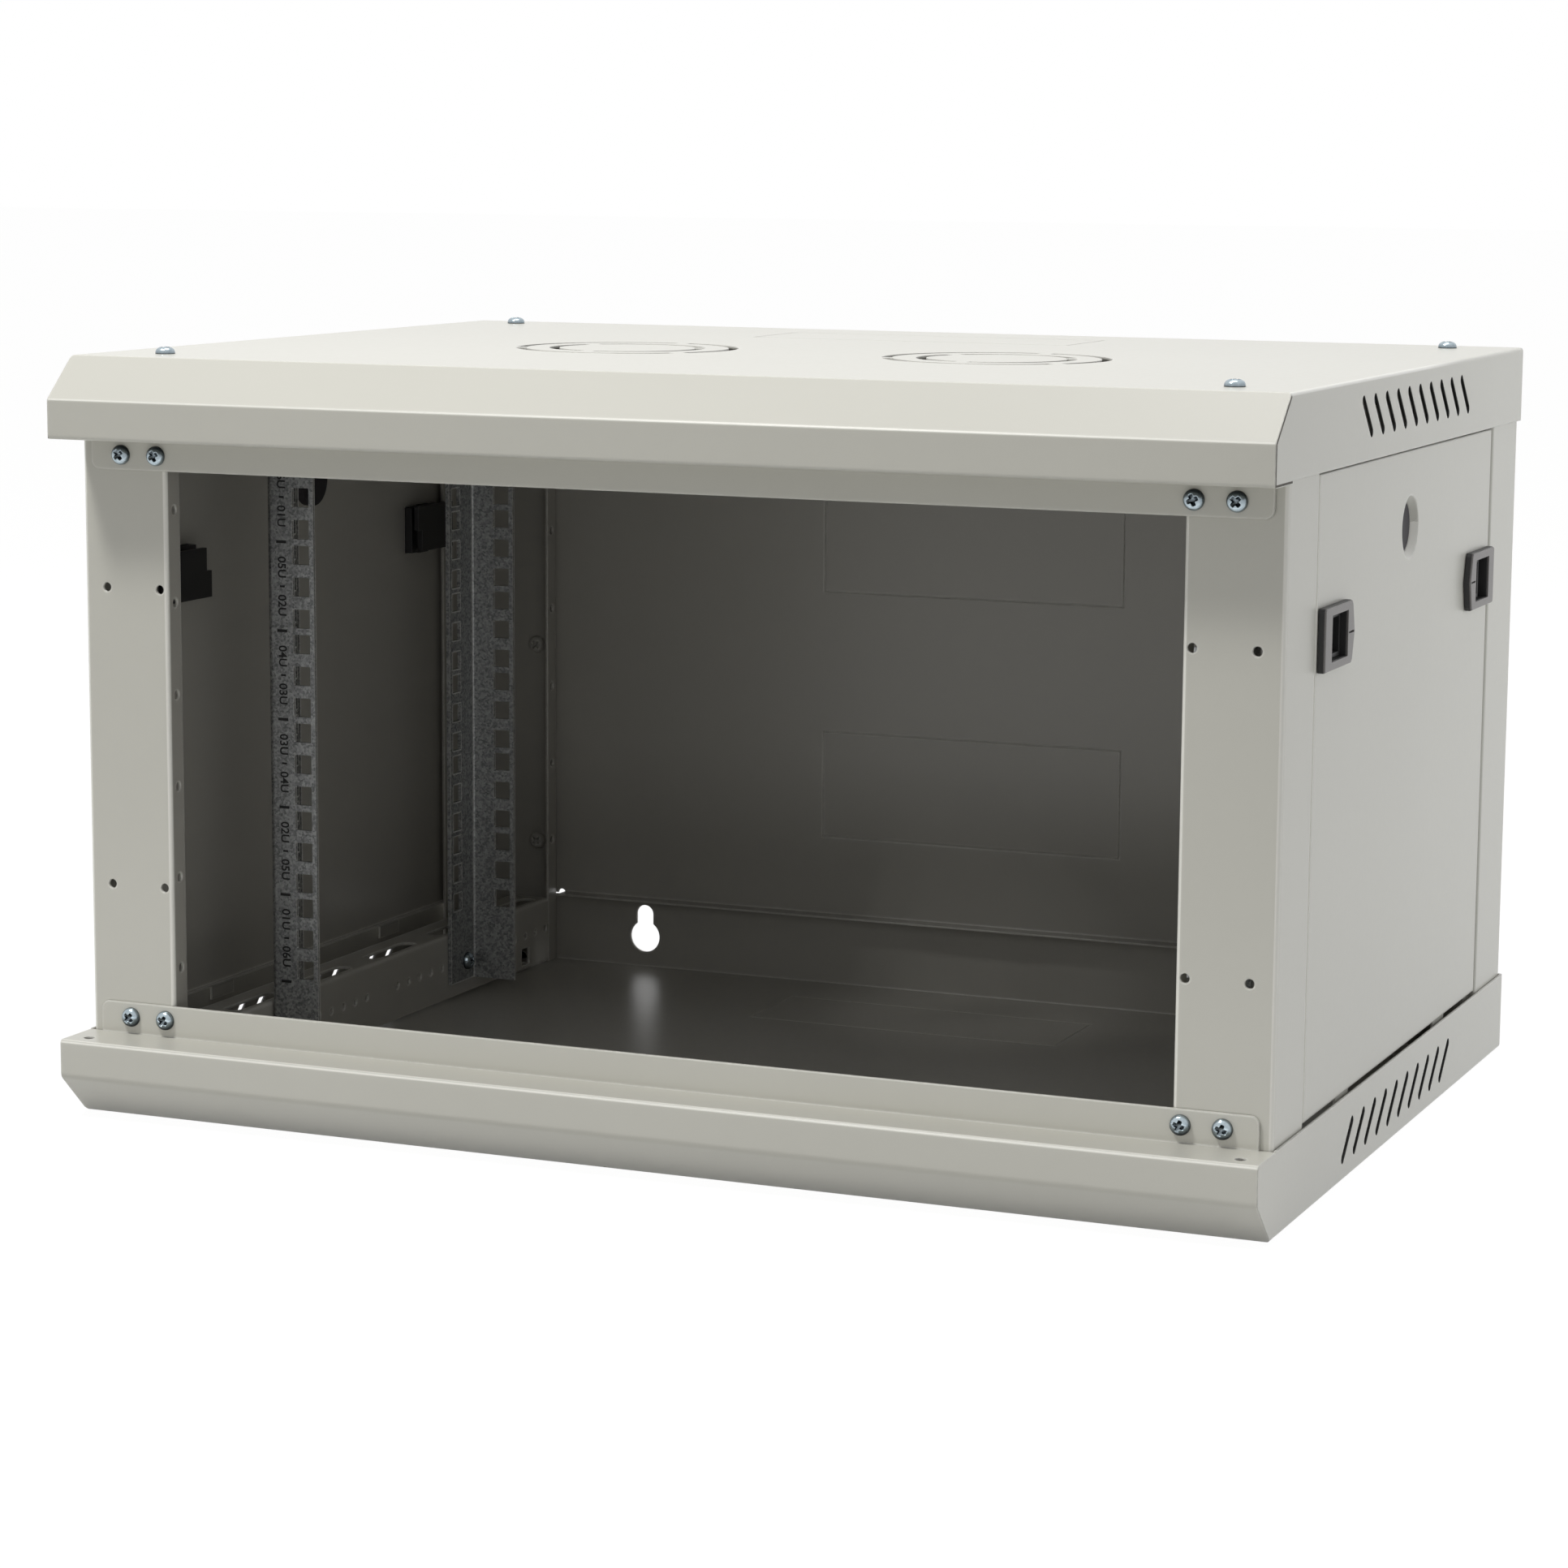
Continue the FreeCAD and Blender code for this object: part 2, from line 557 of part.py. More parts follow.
def side_panel():
    """Folded pan with two latch openings, a drawn lock opening and two bottom hooks."""
    skin = PANEL_OUT - PANEL_T
    outer = block((PANEL_OUT - PANEL_RIM, PANEL_OUT), PANEL_Y, PANEL_Z)
    rim = edges_where(outer, Y_AXIS, lambda p: near(p.x, PANEL_OUT))
    rim += edges_where(outer, Z_AXIS, lambda p: near(p.x, PANEL_OUT))
    outer = outer.makeFillet(PANEL_R, rim)
    inner = block((skin - BEYOND, skin), (PANEL_Y[0] + PANEL_T, PANEL_Y[1] - PANEL_T),
                  (PANEL_Z[0] + PANEL_T, PANEL_Z[1] - PANEL_T))
    pan = outer.cut(inner)
    collar = lock_cone(PANEL_T)
    hooks = []
    for y in HOOK_Y:
        mid = PANEL_MID + y
        hooks.append(block(HOOK_X, (mid - HOOK_HALF, mid + HOOK_HALF), (HOOK_Z, PANEL_Z[0] + HOOK_LAP)))
    tools = [lock_cone(0.0)]
    for way in (1, -1):
        ends = (latch_y(SLEEVE[0] - CLEAR, way), latch_y(SLEEVE[1] + CLEAR, way))
        half = SLEEVE_HALF + CLEAR
        through = (skin - BEYOND, skin + BEYOND)
        tools.append(block(through, ends, (LATCH_Z - half, LATCH_Z + half)))
    return cut(fuse([pan, collar] + hooks), tools)


PLUG_RISE = 0.6                     # how far the plug's face stands into the collar
PLUG_FLANGE = 2.0                   # how much wider than the collar its shoulder is
PLUG_DEEP = 4.6                     # from the collar's inner end to the plug's back


def lock_blank():
    """Plug that closes the lock opening: a sunk face and a shoulder behind the collar."""
    seat = PANEL_OUT - LOCK_DEEP
    back = (seat - PLUG_DEEP, PANEL_MID, LOCK_Z)
    face = rod(LOCK_SMALL_R - CLEAR, back, (seat + PLUG_RISE, PANEL_MID, LOCK_Z))
    shoulder = rod(LOCK_SMALL_R + PLUG_FLANGE, back, (seat - CLEAR, PANEL_MID, LOCK_Z))
    return fuse([face, shoulder])


# ---------------------------------------------------------------- latches
POINT_RUN = 5.0                     # length of the plate's pointed end
POINT_TIP = 3.4                     # part of it in front of the clipped corners
POINT_CLIP = 1.6                    # size of those corners, and radius of the square end's


def latch_outline(x0, x1, way, inset):
    """The latch plate: square at the panel's edge, pointed towards the panel's middle."""
    half = LATCH_HALF - inset
    length = LATCH_LENGTH - inset
    run, tip = length - POINT_RUN, length - POINT_TIP
    clipped = half - POINT_CLIP
    shape = [(inset, -half), (run, -half), (tip, -clipped), (length, 0), (tip, clipped), (run, half),
             (inset, half)]
    corners = [Vec(x0, latch_y(u, way), LATCH_Z + v) for u, v in shape]
    plate = Part.Face(Part.makePolygon(corners + corners[:1])).extrude(Vec(x1 - x0, 0, 0))
    square_end = edges_where(plate, X_AXIS, lambda p: near(p.y, latch_y(inset, way)))
    return plate.makeFillet(POINT_CLIP, square_end)


def window(way, grow=0.0):
    """The finger window as a block through the whole latch, larger all round by grow."""
    ends = (latch_y(WINDOW[0] - grow, way), latch_y(WINDOW[1] + grow, way))
    half = WINDOW_HALF + grow
    return block((SLEEVE_BACK - BEYOND, LATCH_FACE + BEYOND), ends, (LATCH_Z - half, LATCH_Z + half))


SLEEVE_BACK = 292.8                 # inner end of the sleeve
GUIDE = (294.2, 296.0)              # ribs that keep the slider in its sleeve
GUIDE_RISE = 0.7                    # how far the ribs stand over the window's edges
LUG_X = (294.6, 296.6)              # snap lugs behind the panel's sheet
LUG_U = (20.0, 30.0)
LUG_RISE = 0.9
LAP = 0.5                           # overlap that joins two forms into one


def latch_body(way):
    """Black housing: a base plate on the panel, a sleeve through it and two snap lugs."""
    base = latch_outline(PANEL_OUT + CLEAR, LATCH_FACE - BEZEL_T, way, 0.0)
    ends = (latch_y(SLEEVE[0], way), latch_y(SLEEVE[1], way))
    sides = (LATCH_Z - SLEEVE_HALF, LATCH_Z + SLEEVE_HALF)
    sleeve = block((SLEEVE_BACK, PANEL_OUT + CLEAR + LAP), ends, sides)
    lugs = []
    for side in (-1, 1):
        lug_z = (LATCH_Z + side * (SLEEVE_HALF - LAP), LATCH_Z + side * (SLEEVE_HALF + LUG_RISE))
        lugs.append(block(LUG_X, (latch_y(LUG_U[0], way), latch_y(LUG_U[1], way)), lug_z))
    groove_half = WINDOW_HALF + GUIDE_RISE + CLEAR
    grooves = block((GUIDE[0] - CLEAR, GUIDE[1] + CLEAR),
                    (latch_y(WINDOW[0], way), latch_y(WINDOW[1], way)),
                    (LATCH_Z - groove_half, LATCH_Z + groove_half))
    return cut(fuse([base, sleeve] + lugs), [window(way), grooves])


BEZEL_INSET = 0.25                  # all round inside the black housing's edge
BEZEL_CHAMFER = 0.35
WINDOW_GROW = 0.15
SLIT_U = (38.6, 47.0)
SLIT_HALF = 0.45


def latch_bezel(way):
    """Grey face plate with the finger window and the slit that marks the slider's travel."""
    plate = latch_outline(LATCH_FACE - BEZEL_T, LATCH_FACE, way, BEZEL_INSET)
    rim = [edge for edge in plate.Edges if near(edge.BoundBox.XMin, LATCH_FACE)]
    plate = plate.makeChamfer(BEZEL_CHAMFER, rim)
    slit = block((LATCH_FACE - BEYOND, LATCH_FACE + BEYOND),
                 (latch_y(SLIT_U[0], way), latch_y(SLIT_U[1], way)),
                 (LATCH_Z - SLIT_HALF, LATCH_Z + SLIT_HALF))
    return cut(plate, [window(way, WINDOW_GROW), slit])


PAD = (18.5, 36.5)                  # finger pad in the drawn-back position
PAD_FACE = 298.2
PAD_WALL = 2.0
PAD_FLOOR = 293.0
PLATE_X = (286.4, 289.0)
PLATE_ENDS = (6.3, 42.0)
PLATE_LOW, PLATE_HIGH = -13.8, 11.2  # from the latch's middle, turned over on the rear latch
STEP = 4.6                           # how much longer the plate's low half is
NOSE_END = 13.0
NOSE_HALF = 8.0
NOSE_X = 292.3
NOSE_CHAMFER = 1.2
STEP_TOP = -0.5


def latch_block(x, u, v, way):
    """A block on a latch: x outwards, u from its edge end, v up at the front, down at the rear."""
    heights = (LATCH_Z + v[0] * way, LATCH_Z + v[1] * way)
    return block(x, (latch_y(u[0], way), latch_y(u[1], way)), heights)


def latch_slider(way):
    """Sliding bolt: finger pad in the window, back plate behind the sleeve, bolt nose."""
    half = WINDOW_HALF - CLEAR
    pad = latch_block((PLATE_X[0], PAD_FACE), PAD, (-half, half), way)
    rib_half = WINDOW_HALF + GUIDE_RISE
    ribs = latch_block(GUIDE, PAD, (-rib_half, rib_half), way)
    well = latch_block((PAD_FLOOR, PAD_FACE + BEYOND), (PAD[0] + PAD_WALL, PAD[1] - PAD_WALL),
                       (PAD_WALL - half, half - PAD_WALL), way)
    plate = latch_block(PLATE_X, PLATE_ENDS, (PLATE_LOW, PLATE_HIGH), way)
    step = latch_block(PLATE_X, (PLATE_ENDS[1] - LAP, PLATE_ENDS[1] + STEP), (PLATE_LOW, STEP_TOP), way)
    nose = latch_block((PLATE_X[0], NOSE_X), (PLATE_ENDS[0], NOSE_END), (-NOSE_HALF, NOSE_HALF), way)
    front = latch_y(PLATE_ENDS[0], way)
    lead = edges_where(nose, Z_AXIS, lambda p: near(p.x, NOSE_X) and near(p.y, front))
    nose = nose.makeChamfer(NOSE_CHAMFER, lead)
    return fuse([cut(fuse([pad, ribs]), [well]), plate, step, nose])


# ---------------------------------------------------------------- fasteners
CROWN = 0.72             # rounding of a screw head, as a share of its height
CROSS = (5.2, 1.2, 2.0)  # length, width and depth of a cross recess
ROOT = 0.5               # overlap of the shank with the head
COVER_SCREW, BASE_SCREW, RAIL_SCREW_LENGTH, BACK_SCREW = 9.0, 5.0, 8.0, 3.2


def screw(seat, way, length):
    """Pan head cross-recess screw: head over the seat, shank along the direction way."""
    seat = Vec(*seat)
    way = Vec(*way)
    head = Part.makeCylinder(HEAD_R, HEAD_H, seat, way * -1)
    crown = [edge for edge in head.Edges if (edge.CenterOfMass - (seat - way * HEAD_H)).Length < 0.01]
    head = head.makeFillet(HEAD_H * CROWN, crown)
    shank = Part.makeCylinder(SCREW_R, length, seat - way * ROOT, way)
    cross = []
    for turn in (45, 135):
        blade = Part.makeBox(*CROSS, Vec(-CROSS[0] / 2, -CROSS[1] / 2, -CROSS[2]))
        tilt = FreeCAD.Rotation(Z_AXIS, way * -1)
        spin = FreeCAD.Rotation(Z_AXIS, turn)
        blade.Placement = FreeCAD.Placement(seat - way * HEAD_H, tilt.multiply(spin))
        cross.append(blade.copy())
    return fuse([head, shank]).cut(cross)


def cover_face_screws():
    """Eight screws through the cover flanges into the front uprights."""
    y = FRONT + LIP_DEPTH
    return group([screw((side * x, y, z), (0, 1, 0), COVER_SCREW)
                  for side in (-1, 1) for x in FACE_FIX_X for z in FACE_FIX_Z])


def cover_top_screws():
    """Four screws through the top plate, the uprights and the upper brackets."""
    return group([screw((side * FIX_X, y, HEIGHT), (0, 0, -1), COVER_SCREW)
                  for side in (-1, 1) for y in FIX_Y])


def base_screws():
    """Four screws from inside through the lower brackets and uprights into the base plate."""
    seat = BRACKET_Z[0] + POST_T
    return group([screw((side * FIX_X, y, seat), (0, 0, -1), BASE_SCREW)
                  for side in (-1, 1) for y in FIX_Y])


def rail_screws():
    """Eight screws that hold the rails to the rows of holes in the brackets."""
    inner = RAIL_OUT - RAIL_T
    rows = (FRONT_RAIL + RAIL_SCREW, REAR_RAIL - RAIL_SCREW)
    return group([screw((side * inner, y, z), (side, 0, 0), RAIL_SCREW_LENGTH)
                  for side in (-1, 1) for y in rows for z in (ROW_Z, HEIGHT - ROW_Z)])


def back_panel_screws():
    """Six screws from inside the rear uprights into the back panel."""
    seat = POST_BACK - POST_T
    return group([screw((side * BACK_FIX_X, seat, z), (0, 1, 0), BACK_SCREW)
                  for side in (-1, 1) for z in BACK_FIX_Z])


# ---------------------------------------------------------------- the cabinet
def build():
    """Every node of the cabinet by name."""
    low = bracket()
    nodes = {
        "top_cover": top_cover(),
        "bottom_cover": bottom_cover(),
        "back_panel": back_panel(),
        "cover_face_screws": cover_face_screws(),
        "cover_top_screws": cover_top_screws(),
        "base_screws": base_screws(),
        "rail_screws": rail_screws(),
        "back_panel_screws": back_panel_screws(),
    }
    right = {
        "front_upright": front_upright(),
        "rear_upright": rear_upright(),
        "lower_bracket": low,
        "upper_bracket": flipped(low),
        "front_rail": rail(FRONT_RAIL, 1),
        "rear_rail": rail(REAR_RAIL, -1),
        "side_panel": side_panel(),
        "lock_blank": lock_blank(),
    }
    for place, way in (("front", 1), ("rear", -1)):
        right[place + "_latch_body"] = latch_body(way)
        right[place + "_latch_bezel"] = latch_bezel(way)
        right[place + "_latch_slider"] = latch_slider(way)
    for name, shape in right.items():
        nodes[name + "_right"] = shape
        nodes[name + "_left"] = mirrored(shape)
    return nodes


def main():
    os.makedirs("parts", exist_ok=True)
    for name, shape in build().items():
        shape.exportStep("parts/" + name + ".step")
        print(name, "solids", len(shape.Solids), "volume", round(shape.Volume), "valid", shape.isValid())


main()
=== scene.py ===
# %% [markdown]
# A wall cabinet for network gear is a box of folded steel sheet. Two covers, top and
# bottom, are joined by four folded uprights, and two side panels hang between them.
# The solids of that box come ready made. This lesson gives them their finishes, adds
# the small pieces that a maker would add last, and sets up the light and the camera.

# %% Load the solids
import math

import bpy
import numpy as np
from mathutils import Matrix, Vector


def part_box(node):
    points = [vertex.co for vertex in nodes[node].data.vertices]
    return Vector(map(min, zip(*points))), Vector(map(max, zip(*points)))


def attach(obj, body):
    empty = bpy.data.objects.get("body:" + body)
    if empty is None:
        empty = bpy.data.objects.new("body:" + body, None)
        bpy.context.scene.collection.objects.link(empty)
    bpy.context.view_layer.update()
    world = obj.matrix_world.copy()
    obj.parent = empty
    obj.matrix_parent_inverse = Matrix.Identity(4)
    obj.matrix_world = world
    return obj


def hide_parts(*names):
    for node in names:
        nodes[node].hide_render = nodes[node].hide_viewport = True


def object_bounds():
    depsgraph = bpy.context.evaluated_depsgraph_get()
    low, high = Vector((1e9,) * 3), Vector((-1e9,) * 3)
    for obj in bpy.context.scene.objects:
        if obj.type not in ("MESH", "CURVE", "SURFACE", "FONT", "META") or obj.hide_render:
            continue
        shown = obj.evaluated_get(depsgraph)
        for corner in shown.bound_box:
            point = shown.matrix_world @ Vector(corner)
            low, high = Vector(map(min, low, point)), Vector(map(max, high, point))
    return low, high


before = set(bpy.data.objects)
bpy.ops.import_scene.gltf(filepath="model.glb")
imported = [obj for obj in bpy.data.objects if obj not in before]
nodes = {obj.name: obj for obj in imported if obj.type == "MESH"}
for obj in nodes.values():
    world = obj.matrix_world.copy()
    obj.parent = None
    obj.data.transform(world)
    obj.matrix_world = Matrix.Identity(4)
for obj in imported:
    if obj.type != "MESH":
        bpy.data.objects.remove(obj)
cad_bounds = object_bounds()
MM = 0.001


def limits(name):
    """Lowest and highest corner of a solid, in millimetres."""
    low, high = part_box(name)
    return np.array(low) / MM, np.array(high) / MM


for name in ("top_cover", "bottom_cover", "front_rail_right", "side_panel_right"):
    print(name, *[np.round(corner, 2) for corner in limits(name)])
HEIGHT = limits("top_cover")[1][2]

# %% [markdown]
# The camera stands in front of the cabinet, a good step to its right, and a little
# above it. A long lens keeps the folded edges nearly parallel. The camera is placed by
# its right and forward directions, so that its small tilt is kept as well.

# %% Camera
SENSOR = 36.0
LENS = 94.68
CLIP_END = 50.0


def place_camera(place, forward, right):
    """Camera whose three axes are right, right x forward, and minus forward."""
    data = bpy.data.cameras.new("camera")
    data.sensor_width = SENSOR
    data.lens = LENS
    data.clip_end = CLIP_END
    camera = bpy.data.objects.new("camera", data)
    forward = Vector(forward).normalized()
    up = Vector(right).cross(forward).normalized()
    side = forward.cross(up)
    turn = Matrix((side, up, -forward)).transposed()
    camera.matrix_world = Matrix.Translation(place) @ turn.to_4x4()
    bpy.context.scene.collection.objects.link(camera)
    bpy.context.scene.camera = camera
    return camera


camera = place_camera(place=(0.7806, -1.8843, 0.4730), forward=(-0.3848, 0.9098, -0.1555),
                      right=(0.9206, 0.3905, 0.0066))
print("camera at", [round(v, 3) for v in camera.location])

# %% [markdown]
# Colours are written as they look on a screen, in hex. The renderer needs linear
# light, and one function turns one into the other. A second small function adds a node
# to a material, with its settings and its links, and every finish below is built
# with it.

# %% Colour and node helpers


def colour(hex_value):
    """Linear colour: each channel c of the hex value becomes ((c + 0.055) / 1.055) ** 2.4."""
    channels = np.array([int(hex_value[i:i + 2], 16) for i in (1, 3, 5)]) / 255
    linear = np.where(channels <= 0.04045, channels / 12.92, ((channels + 0.055) / 1.055) ** 2.4)
    return (*linear.tolist(), 1.0)


def add(tree, kind, inputs=None, **settings):
    """A node of that kind; an input takes a plain value, or another node's output."""
    node = tree.nodes.new("ShaderNode" + kind)
    for name, value in settings.items():
        setattr(node, name, value)
    for name, value in (inputs or {}).items():
        socket = node.inputs[name]
        if isinstance(value, bpy.types.NodeSocket):
            tree.links.new(value, socket)
        else:
            socket.default_value = value
    return node


def new_material(name):
    """An empty material with its tree and its shader, already joined to the output."""
    material = bpy.data.materials.new(name)
    material.use_nodes = True
    tree = material.node_tree
    tree.nodes.clear()
    shader = add(tree, "BsdfPrincipled")
    add(tree, "OutputMaterial", {"Surface": shader.outputs[0]})
    return material, tree, shader


print("mid grey is", [round(v, 3) for v in colour("#808080")[:3]])

# %% [markdown]
# The cabinet stands in a white studio. The floor and the sky are white only for what the
# camera sees and for what shiny parts mirror. The light that falls on the paint comes
# from a weak sky and from four soft lamps, so that no pale face burns out.

# %% Sky and floor
scene = bpy.context.scene
scene.view_settings.view_transform = "Standard"


def seen_or_mirrored(tree):
    """1 for rays from the camera, from a mirror or through glass, and 0 for the rest."""
    path = add(tree, "LightPath")
    either = add(tree, "Math", {0: path.outputs["Is Camera Ray"], 1: path.outputs["Is Glossy Ray"]},
                 operation="MAXIMUM")
    both = add(tree, "Math", {0: either.outputs[0], 1: path.outputs["Is Transmission Ray"]},
               operation="MAXIMUM")
    return both.outputs[0]


WHITE = (1, 1, 1, 1)
SKY_LIGHT = 0.31
world = bpy.data.worlds.new("studio")
scene.world = world
world.use_nodes = True
tree = world.node_tree
tree.nodes.clear()
strength = add(tree, "MapRange", {"Value": seen_or_mirrored(tree), "To Min": SKY_LIGHT,
                                  "To Max": 1.0})
sky = add(tree, "Background", {"Color": WHITE, "Strength": strength.outputs[0]})
add(tree, "OutputWorld", {"Surface": sky.outputs[0]})


FLOOR_HALF = 20.0
FLOOR_GAP = 0.5 * MM
FLOOR_GLOW = 1.17
GLOW_SHARE = 0.82


def plate(name, half, z):
    """A square face, from its four corners."""
    mesh = bpy.data.meshes.new(name)
    corners = [(-half, -half, z), (half, -half, z), (half, half, z), (-half, half, z)]
    mesh.from_pydata(corners, [], [(0, 1, 2, 3)])
    obj = bpy.data.objects.new(name, mesh)
    scene.collection.objects.link(obj)
    return obj


floor = plate("floor", FLOOR_HALF, cad_bounds[0][2] - FLOOR_GAP)
material = bpy.data.materials.new("white_paper")
material.use_nodes = True
tree = material.node_tree
tree.nodes.clear()
paper = add(tree, "BsdfDiffuse", {"Color": colour("#C2C2C0")})
glow = add(tree, "Emission", {"Color": WHITE, "Strength": FLOOR_GLOW})
share = add(tree, "Math", {0: seen_or_mirrored(tree), 1: GLOW_SHARE}, operation="MULTIPLY")
mixed = add(tree, "MixShader", {0: share.outputs[0], 1: paper.outputs[0], 2: glow.outputs[0]})
add(tree, "OutputMaterial", {"Surface": mixed.outputs[0]})
floor.data.materials.append(material)
print("floor at", round(floor.data.vertices[0].co.z / MM, 2), "mm")

# %% [markdown]
# Four lamps stand round the cabinet. The first hangs high in front and a little to the
# left: it lays the shadow of the upper lip on the uprights, is small enough to leave that
# shadow an edge, and draws a bright line along each bend that runs from side to side. The
# second hangs straight above and brightens the top and the bevel. The third stands low
# at the rear right, so that the right side grows brighter towards the wall. It is hidden
# from reflections, because seen from the left its mirror image would wash out the top.
# The fourth is a wide strip close to the floor in front: it does what a white table
# does, and lights the lower lip, the lower part of the back wall and the undersides.
# The rest of the inside stays dark.

# %% Lamps


def soft_lamp(name, place, aim, size, share, tall=None, tint=(1, 1, 1)):
    """A lamp turned to face its aim. On a face turned to it, it gives that share of
    the light of an all-white sky: a power of share * (pi * distance) ** 2 watts."""
    place, aim = Vector(place), Vector(aim)
    away = place - aim
    data = bpy.data.lights.new(name, "AREA")
    data.shape = "RECTANGLE"
    data.size = size
    data.size_y = tall or size
    data.energy = share * (math.pi * away.length) ** 2
    data.color = tint
    lamp = bpy.data.objects.new(name, data)
    lamp.location = place
    lamp.rotation_euler = away.to_track_quat("Z", "Y").to_euler()
    scene.collection.objects.link(lamp)
    print(name, round(data.energy, 1), "W at", round(away.length, 2), "m")
    return lamp


soft_lamp("front_lamp", (-0.72, -1.00, 2.20), (0, -0.21, 0.25), 0.36, 0.57, tint=(1.0, 0.99, 0.955))
soft_lamp("top_lamp", (0.10, 0.05, 2.30), (0, 0, 0.37), 1.0, 0.34)
side_lamp = soft_lamp("side_lamp", (1.25, 0.75, 0.45), (0.3, 0.0, 0.18), 0.5, 0.27,
                      tint=(0.96, 0.98, 1.0))
side_lamp.visible_glossy = False
soft_lamp("low_lamp", (0.0, -0.50, 0.02), (0, -0.22, 0.02), 1.2, 0.28, tall=0.04)

# %% [markdown]
# The sheet is powder coated: dry paint is sprayed on and baked, and it sets with a fine
# orange peel, about two and a half millimetres from hill to hill. The gloss is half
# matt. Outer corners and folded bends are painted a near white: a painted highlight that
# stands in for the light they catch, broken up a little by the peel on the corners. A
# bevel node finds sharp corners: where the rounded normal leaves the flat one, there is an
# edge. It finds nothing in the middle of a folded bend, which is round already. There the
# face's own direction tells: it is none of the five that the flats have. Faces inside the
# cabinet are painted a darker, warmer grey: painted shade for the dim inside. The cut
# walls of the narrow vent slots are painted near black: painted shade in the slots.

# %% Powder coat


def corner_mask(tree, radius_mm, low, high):
    """0 on a flat and 1 on an outer corner, from how far the rounded normal turns."""
    rounded = add(tree, "Bevel", {"Radius": radius_mm * MM}, samples=4)
    flat = add(tree, "NewGeometry")
    same = add(tree, "VectorMath", {0: rounded.outputs[0], 1: flat.outputs["Normal"]},
               operation="DOT_PRODUCT")
    mask = add(tree, "MapRange", {"Value": same.outputs["Value"], "From Min": high,
                                  "From Max": low})
    return rounded.outputs[0], mask.outputs[0]


# The ways the flats face: aside, to the front, up, out of the upper bevel, out of the lower.
SHEET_FACES = [(1, 0, 0), (0, 1, 0), (0, 0, 1), (0, -0.669, 0.743), (0, -0.694, -0.720)]
FLAT, BENT = 0.999, 0.965
FADE_REAR, FADE_FRONT = 100 * MM, 30 * MM
LOOKS_DOWN, LOOKS_LEVEL = -0.15, -0.02
OUTER_SIDE, FRONT_PART = 285 * MM, -190 * MM


def bend_mask(tree, place):
    """1 where the sheet turns from one flat to the next, and 0 on the flats.

    It is kept to the front and the outer sides, and fades towards the rear and on bends
    that look down. It masks the painted highlight along the bends.

    A flat faces along one of the directions in SHEET_FACES. The nearer a normal comes to
    one of them, the nearer their product is to one.
    """
    facing = add(tree, "VectorTransform", {0: add(tree, "NewGeometry").outputs["True Normal"]},
                 vector_type="NORMAL", convert_from="WORLD", convert_to="OBJECT")
    nearest = None
    for direction in SHEET_FACES:
        product = add(tree, "VectorMath", {0: facing.outputs[0], 1: direction},
                      operation="DOT_PRODUCT")
        size = add(tree, "Math", {0: product.outputs["Value"]}, operation="ABSOLUTE").outputs[0]
        if nearest is not None:
            size = add(tree, "Math", {0: nearest, 1: size}, operation="MAXIMUM").outputs[0]
        nearest = size
    turned = add(tree, "MapRange", {"Value": nearest, "From Min": FLAT, "From Max": BENT})
    parts = add(tree, "SeparateXYZ", {0: place})
    front_fade = add(tree, "MapRange", {"Value": parts.outputs["Y"], "From Min": FADE_REAR,
                                     "From Max": FADE_FRONT})
    looks = add(tree, "SeparateXYZ", {0: facing.outputs[0]})
    upper = add(tree, "MapRange", {"Value": looks.outputs["Z"], "From Min": LOOKS_DOWN,
                                   "From Max": LOOKS_LEVEL})
    aside = add(tree, "Math", {0: parts.outputs["X"]}, operation="ABSOLUTE")
    outer = add(tree, "Math", {0: aside.outputs[0], 1: OUTER_SIDE}, operation="GREATER_THAN")
    front = add(tree, "Math", {0: parts.outputs["Y"], 1: FRONT_PART}, operation="LESS_THAN")
    outside = add(tree, "Math", {0: outer.outputs[0], 1: front.outputs[0]}, operation="MAXIMUM")
    mask = turned
    for other in (front_fade, upper, outside):
        mask = add(tree, "Math", {0: mask.outputs[0], 1: other.outputs[0]}, operation="MULTIPLY")
    return mask.outputs[0]


POST_FRONT = -196.0 * MM


def facing_inwards(tree, place):
    """1 on faces inside the cabinet: they look towards its middle and lie behind the front
    faces of the uprights."""
    geometry = add(tree, "NewGeometry")
    outwards = add(tree, "VectorMath", {0: place, 1: (0, 0, HEIGHT / 2 * MM)}, operation="SUBTRACT")
    looks = add(tree, "VectorMath", {0: geometry.outputs["True Normal"], 1: outwards.outputs[0]},
                operation="DOT_PRODUCT")
    inner = add(tree, "Math", {0: looks.outputs["Value"], 1: 0.0}, operation="LESS_THAN")
    parts = add(tree, "SeparateXYZ", {0: place})
    behind = add(tree, "Math", {0: parts.outputs["Y"], 1: POST_FRONT}, operation="GREATER_THAN")
    mask = add(tree, "Math", {0: inner.outputs[0], 1: behind.outputs[0]}, operation="MULTIPLY")
    return mask.outputs[0]


FLANGE_INSIDE, VENTS_FROM, LIPS_TO = 298.78 * MM, 150.0 * MM, -180.0 * MM
EDGE_ON = 0.3


